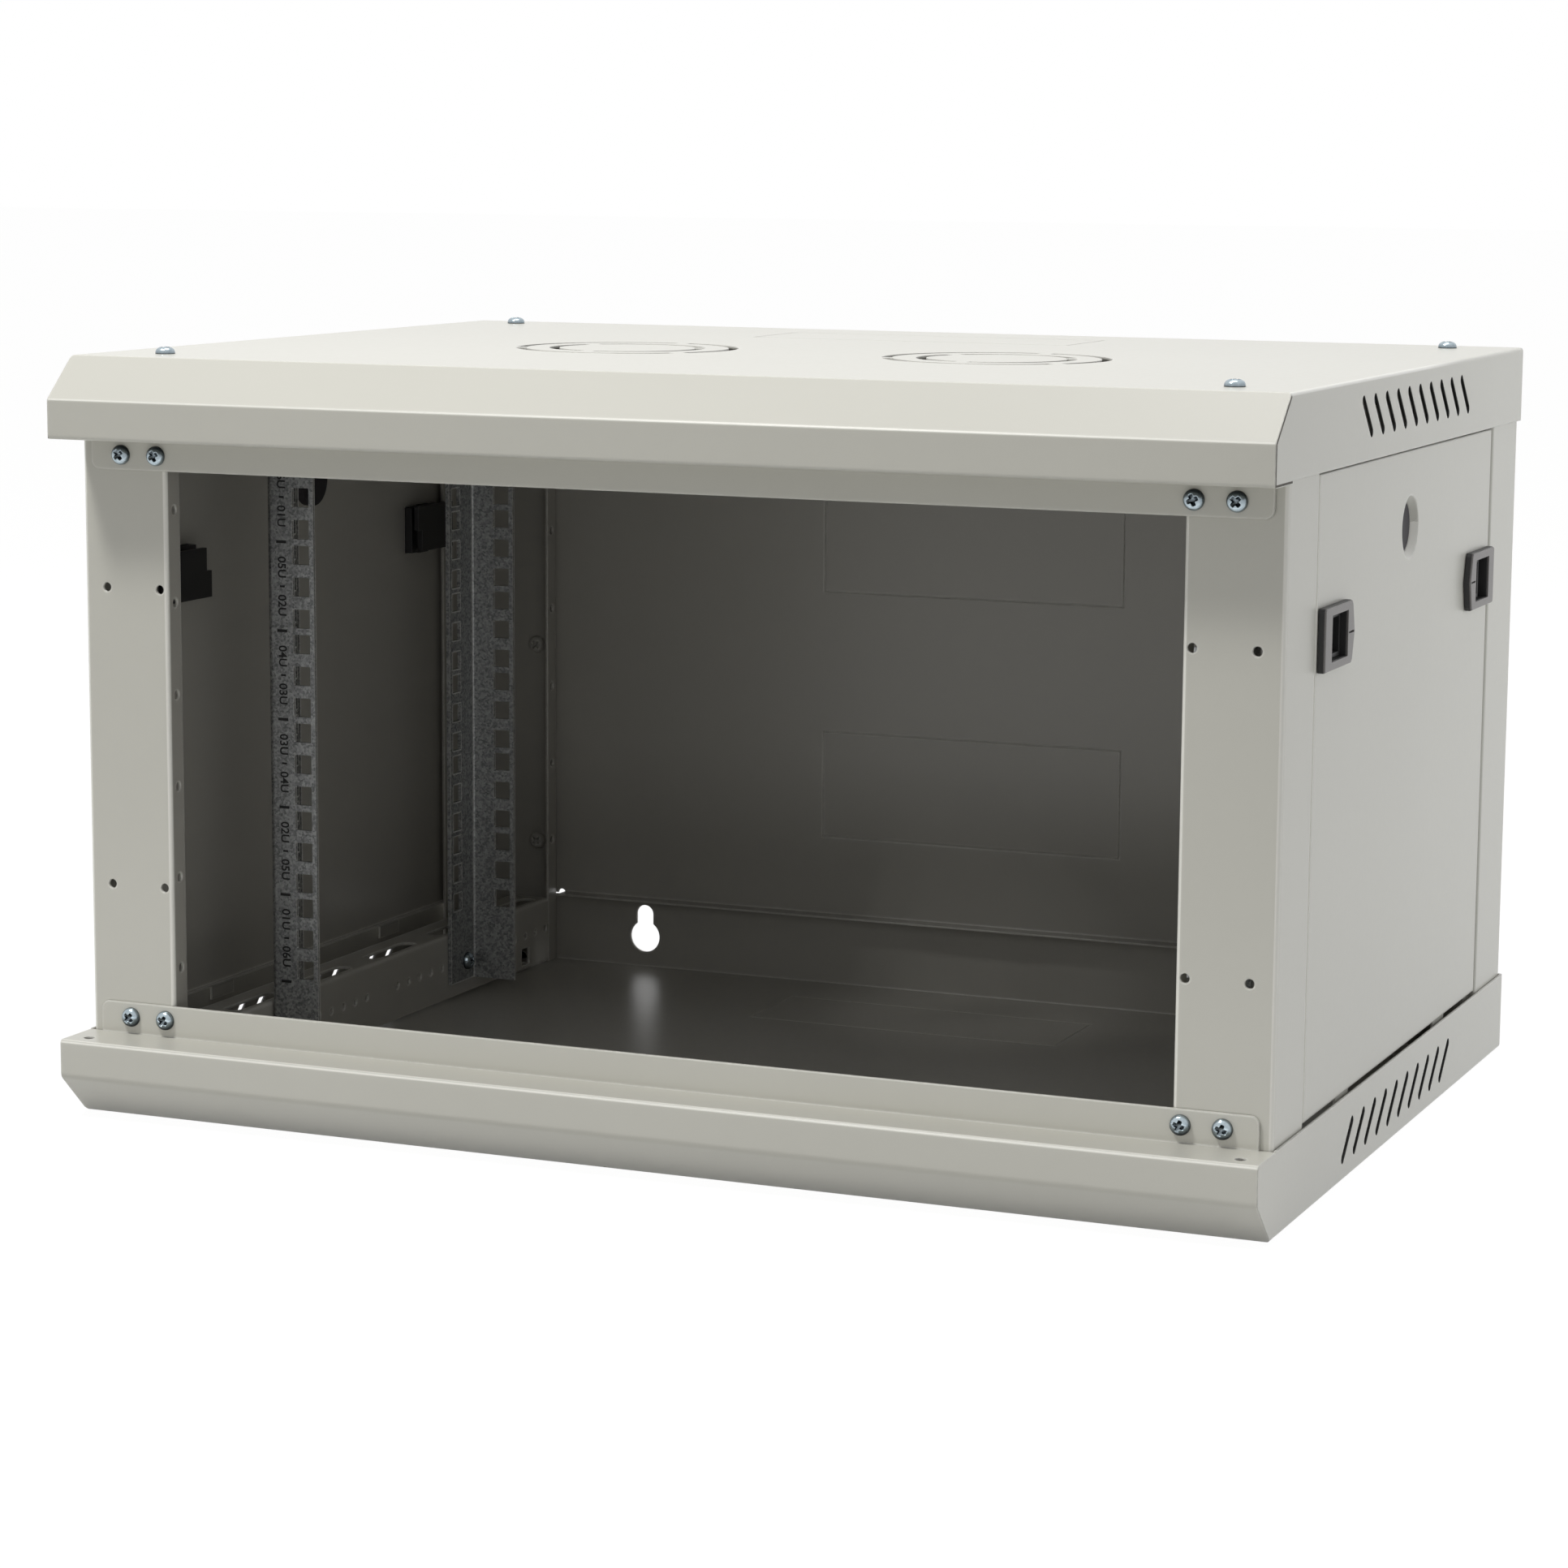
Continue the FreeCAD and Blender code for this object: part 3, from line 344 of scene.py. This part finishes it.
def slot_walls(tree, place):
    """1 on the cut walls of the vent slots: they lie within the side flanges' sheet, behind the
    lips and near the top or the bottom, and face along it."""
    parts = add(tree, "SeparateXYZ", {0: place})
    aside = add(tree, "Math", {0: parts.outputs["X"]}, operation="ABSOLUTE")
    sheet = add(tree, "Math", {0: aside.outputs[0], 1: FLANGE_INSIDE}, operation="GREATER_THAN")
    rise = add(tree, "Math", {0: parts.outputs["Z"], 1: HEIGHT / 2 * MM}, operation="SUBTRACT")
    apart = add(tree, "Math", {0: rise.outputs[0]}, operation="ABSOLUTE")
    ends = add(tree, "Math", {0: apart.outputs[0], 1: VENTS_FROM}, operation="GREATER_THAN")
    facing = add(tree, "SeparateXYZ", {0: add(tree, "NewGeometry").outputs["True Normal"]})
    out = add(tree, "Math", {0: facing.outputs["X"]}, operation="ABSOLUTE")
    along = add(tree, "Math", {0: out.outputs[0], 1: EDGE_ON}, operation="LESS_THAN")
    behind = add(tree, "Math", {0: parts.outputs["Y"], 1: LIPS_TO}, operation="GREATER_THAN")
    mask = sheet
    for other in (ends, along, behind):
        mask = add(tree, "Math", {0: mask.outputs[0], 1: other.outputs[0]}, operation="MULTIPLY")
    return mask.outputs[0]


TONE_CHANGE, PEEL, PEEL_HEIGHT = 140 * MM, 2.6 * MM, 0.016 * MM


def powder_coat(name, tone, shade, painted_inner_shade):
    """Light grey coat between two near tones, with peel, a painted highlight on corners and bends,
    and painted shade inside the cabinet and on the slot walls.
    """
    material, tree, shader = new_material(name)
    place = add(tree, "TexCoord").outputs["Object"]
    broad = add(tree, "TexNoise", {"Vector": place, "Scale": 1 / TONE_CHANGE, "Detail": 3.0})
    peel = add(tree, "TexNoise", {"Vector": place, "Scale": 1 / PEEL, "Detail": 1.0,
                                  "Roughness": 0.35})
    rounded, corner = corner_mask(tree, radius_mm=1.5, low=0.93, high=0.999)
    outer = add(tree, "MixRGB", {"Fac": broad.outputs["Fac"], "Color1": colour(shade),
                                 "Color2": colour(tone)})
    # Faces inside the cabinet are mixed towards the darker inner grey: painted shade.
    base = add(tree, "MixRGB", {"Fac": facing_inwards(tree, place), "Color1": outer.outputs[0],
                                "Color2": colour(painted_inner_shade)})
    highlight_breakup = add(tree, "MapRange", {"Value": peel.outputs["Fac"], "To Min": 0.55, "To Max": 1.0})
    wear_and_highlight = add(tree, "Math", {0: corner, 1: highlight_breakup.outputs[0]}, operation="MULTIPLY")
    # Corners and bends are mixed towards near white below: a painted highlight, broken up by the
    # peel on the corners.
    bend_highlight = add(tree, "Math", {0: bend_mask(tree, place), 1: 0.9}, operation="MULTIPLY")
    painted_highlight = add(tree, "Math", {0: wear_and_highlight.outputs[0], 1: bend_highlight.outputs[0]}, operation="MAXIMUM")
    edged = add(tree, "MixRGB", {"Fac": painted_highlight.outputs[0], "Color1": base.outputs[0],
                                 "Color2": colour("#FBFAF4")})
    # The cut walls of the vent slots are mixed towards near black: painted shade in the narrow
    # slots.
    shown = add(tree, "MixRGB", {"Fac": slot_walls(tree, place), "Color1": edged.outputs[0],
                                 "Color2": colour("#20201F")})
    rough = add(tree, "MapRange", {"Value": peel.outputs["Fac"], "To Min": 0.27, "To Max": 0.34})
    hills = add(tree, "Bump", {"Height": peel.outputs["Fac"], "Distance": PEEL_HEIGHT,
                               "Strength": 1.0, "Normal": rounded})
    tree.links.new(shown.outputs[0], shader.inputs["Base Color"])
    tree.links.new(rough.outputs[0], shader.inputs["Roughness"])
    tree.links.new(hills.outputs[0], shader.inputs["Normal"])
    shader.inputs["IOR"].default_value = 1.45
    return material


# The last grey is the painted shade of the inside of the cabinet.
coat = powder_coat("light_grey_powder_coat", "#D1D0C8", "#CDCCC4", "#B3B1AB")
print(coat.name, "has", len(coat.node_tree.nodes), "nodes")

# %% [markdown]
# The rack rails are not painted. They are zinc plated so that gear screwed to them is
# earthed, and the zinc freezes in small grains, each with its own grey. Voronoi cells a
# millimetre wide give the grains, and a cloud of about the same size is mixed in, so that
# they don't look like tiles. Long fine lines run along the rail from the rolling of the
# sheet.

# %% Zinc rails


GRAIN, GRAIN_CLOUD, ROLLING = 1.0 * MM, 0.8 * MM, 0.7 * MM


def zinc_sheet(name, tone, dark):
    """Metal whose tone and roughness change from grain to grain, with rolling lines along it.

    The walls of its square holes are cut, not plated: they are painted near white, a
    painted highlight for the light they catch, are a little smoother, and don't mirror as
    the plating does.
    """
    material, tree, shader = new_material(name)
    place = add(tree, "TexCoord").outputs["Object"]
    grain = add(tree, "TexVoronoi", {"Vector": place, "Scale": 1 / GRAIN, "Randomness": 1.0})
    grey = add(tree, "SeparateColor", {0: grain.outputs["Color"]})
    cloud = add(tree, "TexNoise", {"Vector": place, "Scale": 1 / GRAIN_CLOUD, "Detail": 3.0})
    long_way = add(tree, "Mapping", {"Vector": place, "Scale": (1.0, 1.0, 0.03)})
    rolled = add(tree, "TexNoise", {"Vector": long_way.outputs[0], "Scale": 1 / ROLLING,
                                    "Detail": 2.0})
    blend = add(tree, "MixRGB", {"Fac": 0.45, "Color1": grey.outputs[0],
                                 "Color2": cloud.outputs["Fac"]})
    base = add(tree, "MixRGB", {"Fac": blend.outputs[0], "Color1": colour(dark),
                                "Color2": colour(tone)})
    corner = corner_mask(tree, radius_mm=1.3, low=0.97, high=0.999)[1]
    facing = add(tree, "SeparateXYZ", {0: add(tree, "NewGeometry").outputs["True Normal"]})
    aside = add(tree, "Math", {0: facing.outputs["X"]}, operation="ABSOLUTE")
    sideways = add(tree, "Math", {0: aside.outputs[0], 1: 0.8}, operation="GREATER_THAN")
    cut = add(tree, "Math", {0: corner, 1: sideways.outputs[0]}, operation="MULTIPLY")
    # The cut walls are mixed towards near white: bare cut metal, brightened into a painted
    # highlight.
    edged = add(tree, "MixRGB", {"Fac": cut.outputs[0], "Color1": base.outputs[0],
                                 "Color2": colour("#F6F6F4")})
    grained = add(tree, "MapRange", {"Value": blend.outputs[0], "To Min": 0.48, "To Max": 0.66})
    rough = add(tree, "Math", {0: cut.outputs[0], 1: -0.25, 2: grained.outputs[0]},
                operation="MULTIPLY_ADD")
    bump = add(tree, "Bump", {"Height": rolled.outputs["Fac"], "Distance": 0.006 * MM})
    tree.links.new(edged.outputs[0], shader.inputs["Base Color"])
    tree.links.new(rough.outputs[0], shader.inputs["Roughness"])
    tree.links.new(bump.outputs[0], shader.inputs["Normal"])
    plated = add(tree, "Math", {0: 1.0, 1: cut.outputs[0]}, operation="SUBTRACT")
    tree.links.new(plated.outputs[0], shader.inputs["Metallic"])
    return material


zinc = zinc_sheet("zinc_plated_sheet", "#C4C5C4", "#585A5C")
print(zinc.name, "has", len(zinc.node_tree.nodes), "nodes")

# %% [markdown]
# Machine screws come with a bright zinc plating that is passivated to a pale blue. It is
# smoother than the rails and mirrors the room. Handling leaves tiny scuffs on it. Where a
# screw sits close under a folded edge or deep in its recess, its colour is darkened:
# painted shade, found by an occlusion node.

# %% Screw plating


def blue_zinc(name):
    """Smooth bluish metal with faint turning marks and scuffs, and painted shade where it is
    occluded.
    """
    material, tree, shader = new_material(name)
    place = add(tree, "TexCoord").outputs["Object"]
    cloud = add(tree, "TexNoise", {"Vector": place, "Scale": 1 / (2.0 * MM), "Detail": 4.0})
    scuff = add(tree, "TexNoise", {"Vector": place, "Scale": 1 / (0.35 * MM), "Detail": 2.0})
    bright = add(tree, "MixRGB", {"Fac": cloud.outputs["Fac"], "Color1": colour("#93A2AB"),
                                  "Color2": colour("#C6D2D8")})
    # Occluded places are darkened towards a dark grey: painted shade.
    open_sky = add(tree, "AmbientOcclusion", {"Distance": 30 * MM}, samples=4)
    painted_shade = add(tree, "MapRange", {"Value": open_sky.outputs["AO"], "From Min": 0.80,
                                  "From Max": 0.35})
    base = add(tree, "MixRGB", {"Fac": painted_shade.outputs[0], "Color1": bright.outputs[0],
                                "Color2": colour("#2E3338")})
    rough = add(tree, "MapRange", {"Value": scuff.outputs["Fac"], "To Min": 0.16, "To Max": 0.32})
    bump = add(tree, "Bump", {"Height": scuff.outputs["Fac"], "Distance": 0.004 * MM})
    tree.links.new(base.outputs[0], shader.inputs["Base Color"])
    tree.links.new(rough.outputs[0], shader.inputs["Roughness"])
    tree.links.new(bump.outputs[0], shader.inputs["Normal"])
    shader.inputs["Metallic"].default_value = 1.0
    return material


plating = blue_zinc("blue_passivated_zinc")
print(plating.name, "has", len(plating.node_tree.nodes), "nodes")

# %% [markdown]
# The latches are injection moulded. The housing and the slider are black nylon with a
# fine spark-eroded texture; the face plate is grey ABS, a little smoother. The plug that
# fills the lock's place is a dull dark grey moulding. The real texture is far finer than
# a millimetre, and is drawn here at 0.5 mm so that it can show.

# %% Moulded plastics


def moulded(name, tone, shade, rough_low, rough_high):
    """Plastic with a fine even texture, brighter where fingers have polished the corners."""
    material, tree, shader = new_material(name)
    place = add(tree, "TexCoord").outputs["Object"]
    grain = add(tree, "TexNoise", {"Vector": place, "Scale": 1 / (0.5 * MM), "Detail": 2.0})
    cloud = add(tree, "TexNoise", {"Vector": place, "Scale": 1 / (9 * MM), "Detail": 2.0})
    base = add(tree, "MixRGB", {"Fac": cloud.outputs["Fac"], "Color1": colour(shade),
                                "Color2": colour(tone)})
    rounded, corner = corner_mask(tree, radius_mm=0.35, low=0.92, high=0.998)
    polish = add(tree, "MapRange", {"Value": grain.outputs["Fac"], "To Min": rough_low,
                                    "To Max": rough_high})
    rough = add(tree, "Math", {0: polish.outputs[0], 1: corner}, operation="SUBTRACT",
                use_clamp=True)
    kept = add(tree, "Math", {0: rough.outputs[0], 1: rough_low * 0.8}, operation="MAXIMUM")
    bump = add(tree, "Bump", {"Height": grain.outputs["Fac"], "Distance": 0.012 * MM,
                              "Normal": rounded})
    tree.links.new(base.outputs[0], shader.inputs["Base Color"])
    tree.links.new(kept.outputs[0], shader.inputs["Roughness"])
    tree.links.new(bump.outputs[0], shader.inputs["Normal"])
    shader.inputs["IOR"].default_value = 1.53
    return material


nylon = moulded("black_moulded_nylon", "#1E1E1F", "#171718", 0.38, 0.55)
abs_grey = moulded("grey_moulded_abs", "#7F7C7B", "#757271", 0.34, 0.50)
lock_grey = moulded("dark_grey_lock_plug", "#2E2B30", "#222024", 0.60, 0.75)
print([m.name for m in (nylon, abs_grey, lock_grey)])

# %% [markdown]
# Each solid now gets its finish. The names of the solids say what they are made of, so
# one table of name beginnings is enough.

# %% Give every solid its finish
FINISHES = (
    ("top_cover", coat), ("bottom_cover", coat), ("back_panel", coat), ("front_upright", coat),
    ("rear_upright", coat), ("lower_bracket", coat), ("upper_bracket", coat), ("side_panel", coat),
    ("front_rail", zinc), ("rear_rail", zinc), ("cover_face_screws", plating),
    ("cover_top_screws", plating), ("base_screws", plating), ("rail_screws", plating),
    ("back_panel_screws", plating), ("lock_blank", lock_grey), ("front_latch_bezel", abs_grey),
    ("rear_latch_bezel", abs_grey), ("front_latch", nylon), ("rear_latch", nylon),
)
for name, node in nodes.items():
    finish = next(finish for start, finish in FINISHES if name.startswith(start))
    node.data.materials.clear()
    node.data.materials.append(finish)
print(len(nodes), "solids finished")

# %% [markdown]
# The screws are pan heads with a cross recess. A screw is a profile turned about its
# axis; the recess is a hollow in the top of the head, and its four wings narrow
# towards the bottom, as the bit does. All of that is one grid of rings and spokes.

# %% One screw as a grid
HEAD_R, HEAD_H, SHANK_R = 4.75, 3.4, 2.5
RIM_H, RIM_FOOT = 0.45, 0.4
RECESS_DEEP, RECESS_REACH = 2.1, 2.75
WING_HALF, CORE_R, WALL_RUN = 0.62, 1.35, 0.35
TIP_RISE, TIP_STEP, END_R = 0.4, 0.5, 0.05
SPOKES = 64


def screw_grid(length):
    """Rings of points from the middle of the head, over its rim, down the shank to its tip.

    Over the head the height is the rim plus the rest of the head times the root of
    1 - (r/R)^3, less the recess. The recess is a cross with a round core: its depth falls
    with the square of the distance along a wing, and rises from 0 at the wing's side to
    its full depth within WALL_RUN.
    """
    turn = np.linspace(0, 2 * np.pi, SPOKES, endpoint=False)
    over_recess, over_rim = np.linspace(END_R, 2.9, 18), np.linspace(3.1, HEAD_R - 0.02, 10)
    radius = np.concatenate([over_recess, over_rim])
    r, a = np.meshgrid(radius, turn, indexing="ij")
    along = np.abs(r * np.cos(a)), np.abs(r * np.sin(a))
    reach, across = np.maximum(*along), np.minimum(*along)
    dome = RIM_H + (HEAD_H - RIM_H) * np.sqrt(np.clip(1 - (r / HEAD_R) ** 3, 0, 1))
    depth = RECESS_DEEP * np.clip(1 - (reach / RECESS_REACH) ** 2, 0, 1)
    wall = np.clip((WING_HALF + WALL_RUN - across) / WALL_RUN, 0, 1)
    core = np.clip((CORE_R - np.hypot(*along)) / WALL_RUN, 0, 1)
    height = dome - depth * np.maximum(wall, core)
    rings = [np.stack([r * np.cos(a), r * np.sin(a), height], -1)]
    for ring_r, ring_z in ((HEAD_R, RIM_FOOT), (HEAD_R, 0.0), (SHANK_R, 0.0),
                           (SHANK_R, TIP_RISE - length), (SHANK_R - TIP_STEP, -length),
                           (END_R, -length)):
        ring = np.stack([ring_r * np.cos(turn), ring_r * np.sin(turn), np.full(SPOKES, ring_z)], -1)
        rings.append(ring[None])
    return np.concatenate(rings)


def grid_faces(rows, columns):
    """Quads between neighbouring rings, closed round; one face closes each end ring."""
    i, j = np.meshgrid(np.arange(rows - 1), np.arange(columns), indexing="ij")
    k = (j + 1) % columns
    here, below = i * columns, (i + 1) * columns
    quads = np.stack([here + j, below + j, below + k, here + k], -1)
    faces = quads.reshape(-1, 4).tolist()
    faces.append(np.arange(columns).tolist())
    faces.append((np.arange(columns)[::-1] + (rows - 1) * columns).tolist())
    return faces


print("a screw has", screw_grid(9.0).shape, "points")

# %% Make a mesh piece


def joined(parts):
    """Points and faces of several parts as one: faces are shifted past the points before them."""
    points, faces, offset = [], [], 0
    for some, these in parts:
        points.append(some)
        faces += [[index + offset for index in face] for face in these]
        offset += len(some)
    return np.concatenate(points), faces


def make_piece(name, points, faces, finish, body, smooth=True):
    """An object at the origin from points in millimetres, riding on a body."""
    mesh = bpy.data.meshes.new(name)
    mesh.from_pydata((points.reshape(-1, 3) * MM).tolist(), [], faces)
    mesh.update()
    mesh.polygons.foreach_set("use_smooth", [smooth] * len(mesh.polygons))
    mesh.materials.append(finish)
    obj = bpy.data.objects.new(name, mesh)
    scene.collection.objects.link(obj)
    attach(obj, body)
    return obj


def screws(seats, way, length, turns):
    """Screws on their seats: the grid's own axis is laid along the way out of the seat."""
    out = np.array(way, float)
    first = np.array((0.0, 0.0, 1.0)) if abs(out[2]) < 0.5 else np.array((0.0, 1.0, 0.0))
    second = np.cross(out, first)
    grid = screw_grid(length)
    faces = grid_faces(grid.shape[0], SPOKES)
    placed = []
    for seat, turn in zip(seats, turns):
        c, s = math.cos(turn), math.sin(turn)
        x = grid[..., 0] * c - grid[..., 1] * s
        y = grid[..., 0] * s + grid[..., 1] * c
        points = np.array(seat) + x[..., None] * first + y[..., None] * second + grid[..., 2:] * out
        placed.append((points.reshape(-1, 3), faces))
    return joined(placed)


# %% [markdown]
# The seats of the screws come from the boxes of the plain screws they replace: on the face
# flanges of the covers, the top plate, the feet of the brackets and the inner sides of the
# rails, whose sheet is placed from a rail's box. Each screw stops at its own angle, as
# screws do.

# %% Screws in place
seed = np.random.default_rng(4)
FACE_SCREW, FOOT_SCREW, RAIL_SCREW = 9.0, 5.0, 8.0


def turned(count):
    """Angles within 28 degrees of an eighth of a turn, the same on every run."""
    return np.radians(45 + seed.uniform(-28, 28, count))


def seat_rows(name, axes):
    """The two outermost screw places of a node along each of two axes, from its box."""
    low, high = limits(name)
    return [(low[axis] + HEAD_R, high[axis] - HEAD_R) for axis in axes]


def replace_screws(name, old, seats, way, length):
    """New screws in place of the plain ones of that node."""
    points, faces = screws(seats, way, length, turned(len(seats)))
    piece = make_piece(name, points, faces, plating, "cabinet")
    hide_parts(old)
    print(name, len(seats), "screws")


FACE_PITCH = 19.2
face_x, face_z = seat_rows("cover_face_screws", (0, 2))
face_y = limits("cover_face_screws")[0][1] + HEAD_H
face_seats = [(side * (face_x[1] - step), face_y, z) for side in (1, -1) for step in (0, FACE_PITCH)
              for z in face_z]
replace_screws("face_screws", "cover_face_screws", face_seats, (0, -1, 0), FACE_SCREW)

top_x, top_y = seat_rows("cover_top_screws", (0, 1))
top_z = limits("cover_top_screws")[1][2] - HEAD_H
replace_screws("top_screws", "cover_top_screws", [(x, y, top_z) for x in top_x for y in top_y],
               (0, 0, 1), FACE_SCREW)

foot_x, foot_y = seat_rows("base_screws", (0, 1))
foot_z = limits("base_screws")[1][2] - HEAD_H
replace_screws("foot_screws", "base_screws", [(x, y, foot_z) for x in foot_x for y in foot_y],
               (0, 0, 1), FOOT_SCREW)

# %% Screws of the rails
rail_y, rail_z = seat_rows("rail_screws", (1, 2))
RAIL_SHEET = 2.0
rail_x = limits("front_rail_right")[1][0] - RAIL_SHEET
both_sides = []
for side in (1, -1):
    seats = [(side * rail_x, y, z) for y in rail_y for z in rail_z]
    both_sides.append(screws(seats, (-side, 0, 0), RAIL_SCREW, turned(len(seats))))
rail_piece = make_piece("rail_fixing_screws", *joined(both_sides), plating, "cabinet")
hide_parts("rail_screws")
print("rail screws at depths", np.round(rail_y, 1), "and heights", np.round(rail_z, 1))

# %% [markdown]
# The rack units are printed on the front rails in black, counted from the bottom on one
# side of the mark and from the top on the other. A bar shows where a unit starts and a
# dash shows its middle. The ink is a film, so the marks are flat shapes a few
# hundredths of a millimetre in front of the zinc.

# %% Printing ink
ink, tree, shader = new_material("black_printing_ink")
place = add(tree, "TexCoord").outputs["Object"]
wear_and_highlight = add(tree, "TexNoise", {"Vector": place, "Scale": 1 / (0.6 * MM), "Detail": 3.0})
tone = add(tree, "MixRGB", {"Fac": wear_and_highlight.outputs["Fac"], "Color1": colour("#0C0C0D"),
                            "Color2": colour("#232324")})
tree.links.new(tone.outputs[0], shader.inputs["Base Color"])
rough = add(tree, "MapRange", {"Value": wear_and_highlight.outputs["Fac"], "To Min": 0.45, "To Max": 0.7})
tree.links.new(rough.outputs[0], shader.inputs["Roughness"])
print(ink.name)

# %% Rail marks
UNIT, UNITS, FIRST_UNIT = 44.45, 6, 49.9
INK_LIFT = 0.04
MARK_LOW, MARK_HIGH = 240.6, 246.3
BAR_HALF, DASH_HALF, DASH_IN, DASH_OUT = 0.7, 0.5, 1.8, 1.0
TEXT_HIGH, TEXT_AWAY = 4.6, 9.5
FONT_SIZE, BOLDER = 1.38, 0.025


def flat_text(words, height, centre, z):
    """Points and faces of a line of text that reads downwards, laid on the front of a rail.

    The size is what gives capitals of that height, and the offset makes the strokes bolder.
    """
    curve = bpy.data.curves.new("text", "FONT")
    curve.body = words
    curve.align_x = "CENTER"
    curve.align_y = "CENTER"
    curve.size = height * FONT_SIZE
    curve.offset = height * BOLDER
    curve.fill_mode = "FRONT"
    text = bpy.data.objects.new("text", curve)
    scene.collection.objects.link(text)
    bpy.context.view_layer.update()
    mesh = bpy.data.meshes.new_from_object(text)
    flat = np.zeros(len(mesh.vertices) * 3)
    mesh.vertices.foreach_get("co", flat)
    flat = flat.reshape(-1, 3)
    faces = [list(polygon.vertices) for polygon in mesh.polygons]
    bpy.data.objects.remove(text)
    points = np.stack([centre + flat[:, 1], np.zeros(len(flat)), z - flat[:, 0]], -1)
    return points, faces


def bar(side, low, high, z, half):
    """A level stroke on one side, between two distances from the middle."""
    low, high = side * low, side * high
    points = np.array([(low, 0, z - half), (high, 0, z - half),
                       (high, 0, z + half), (low, 0, z + half)])
    return points, [[0, 1, 2, 3]]


def rail_marks(side):
    """All marks of one front rail, on the side of the rail away from the square holes."""
    middle = (MARK_LOW + MARK_HIGH) / 2
    parts = []
    for unit in range(UNITS):
        start = FIRST_UNIT + unit * UNIT
        centre = start + UNIT / 2
        parts.append(bar(side, MARK_LOW, MARK_HIGH, start, BAR_HALF))
        parts.append(bar(side, middle - DASH_IN, middle + DASH_OUT, centre, DASH_HALF))
        for number, z in ((UNITS - unit, centre - TEXT_AWAY), (unit + 1, centre + TEXT_AWAY)):
            parts.append(flat_text(f"{number:02d}U", TEXT_HIGH, side * middle, z))
    parts.append(bar(side, MARK_LOW, MARK_HIGH, FIRST_UNIT + UNITS * UNIT, BAR_HALF))
    points, faces = joined(parts)
    points[:, 1] = limits("front_rail_right")[0][1] - INK_LIFT
    return points, faces


for name, side in (("right", 1), ("left", -1)):
    points, faces = rail_marks(side)
    piece = make_piece("rail_marks_" + name, points, faces, ink, "cabinet", smooth=False)
    print(piece.name, len(faces), "faces")

# %% [markdown]
# The covers are folded from one blank each, and their corners aren't welded. At the ends
# of the upper lip the side flange meets the folded lip in a hairline seam that follows
# the lip's profile, and a slit stays open under it. Their shadow is painted: each one is
# a narrow dark band laid along a path on the side face.

# %% Open seams of the upper lip
seam, tree, shader = new_material("open_seam_shadow")
place = add(tree, "TexCoord").outputs["Object"]
shadow_mottle = add(tree, "TexNoise", {"Vector": place, "Scale": 1 / (1.5 * MM), "Detail": 2.0})
tone = add(tree, "MixRGB", {"Fac": shadow_mottle.outputs["Fac"], "Color1": colour("#45433F"),
                            "Color2": colour("#77746D")})
tree.links.new(tone.outputs[0], shader.inputs["Base Color"])
rough = add(tree, "MapRange", {"Value": shadow_mottle.outputs["Fac"], "To Min": 0.75, "To Max": 0.95})
tree.links.new(rough.outputs[0], shader.inputs["Roughness"])


def band(path, near_edge, far_edge, x):
    """A band on a side face: each path point moved along the path's normal by two distances.

    The normal at a point is the direction between its neighbours, turned by a quarter
    turn to the inside of the lip.
    """
    path = np.array(path, float)
    ahead = np.gradient(path, axis=0)
    ahead /= np.linalg.norm(ahead, axis=1, keepdims=True)
    normal = np.stack([ahead[:, 1], -ahead[:, 0]], -1)
    sides = np.stack([path + normal * near_edge, path + normal * far_edge], 1)
    points = np.concatenate([np.full((len(path), 2, 1), x), sides], -1)
    i = np.arange(len(path) - 1) * 2
    faces = np.stack([i, i + 1, i + 3, i + 2], -1)
    return points.reshape(-1, 3), (faces if x > 0 else faces[:, ::-1]).tolist()


cover_low, cover_high = limits("top_cover")
half_width, lip_front = cover_high[0], cover_low[1]
LIP_UNDER, BEVEL_FOOT, BEVEL_DEPTH = 328.7, 347.6, 22.1
SEAM_LIFT, SEAM_NEAR, SEAM_FAR, SLIT_WIDE = 0.03, 0.2, 1.5, 1.0
steps = np.linspace(0, 1, 24)[:, None]
low, foot, high = [np.array(corner) for corner in (
    (lip_front, LIP_UNDER + 0.3), (lip_front, BEVEL_FOOT), (lip_front + BEVEL_DEPTH, HEIGHT))]
lip_path = np.concatenate([low + (foot - low) * steps, foot + (high - foot) * steps[1:]])
slit_path = [(lip_front + 1.6, LIP_UNDER + 0.3), (lip_front + 12, LIP_UNDER + 0.35),
             (lip_front + 26, LIP_UNDER + 0.4)]
for name, side in (("right", 1), ("left", -1)):
    x = side * (half_width + SEAM_LIFT)
    bands = [band(lip_path[:-1], SEAM_NEAR, SEAM_FAR, x), band(slit_path, -SLIT_WIDE, 0.0, x)]
    piece = make_piece("lip_seams_" + name, *joined(bands), seam, "cabinet", smooth=False)
    print(piece.name, len(piece.data.polygons), "faces")
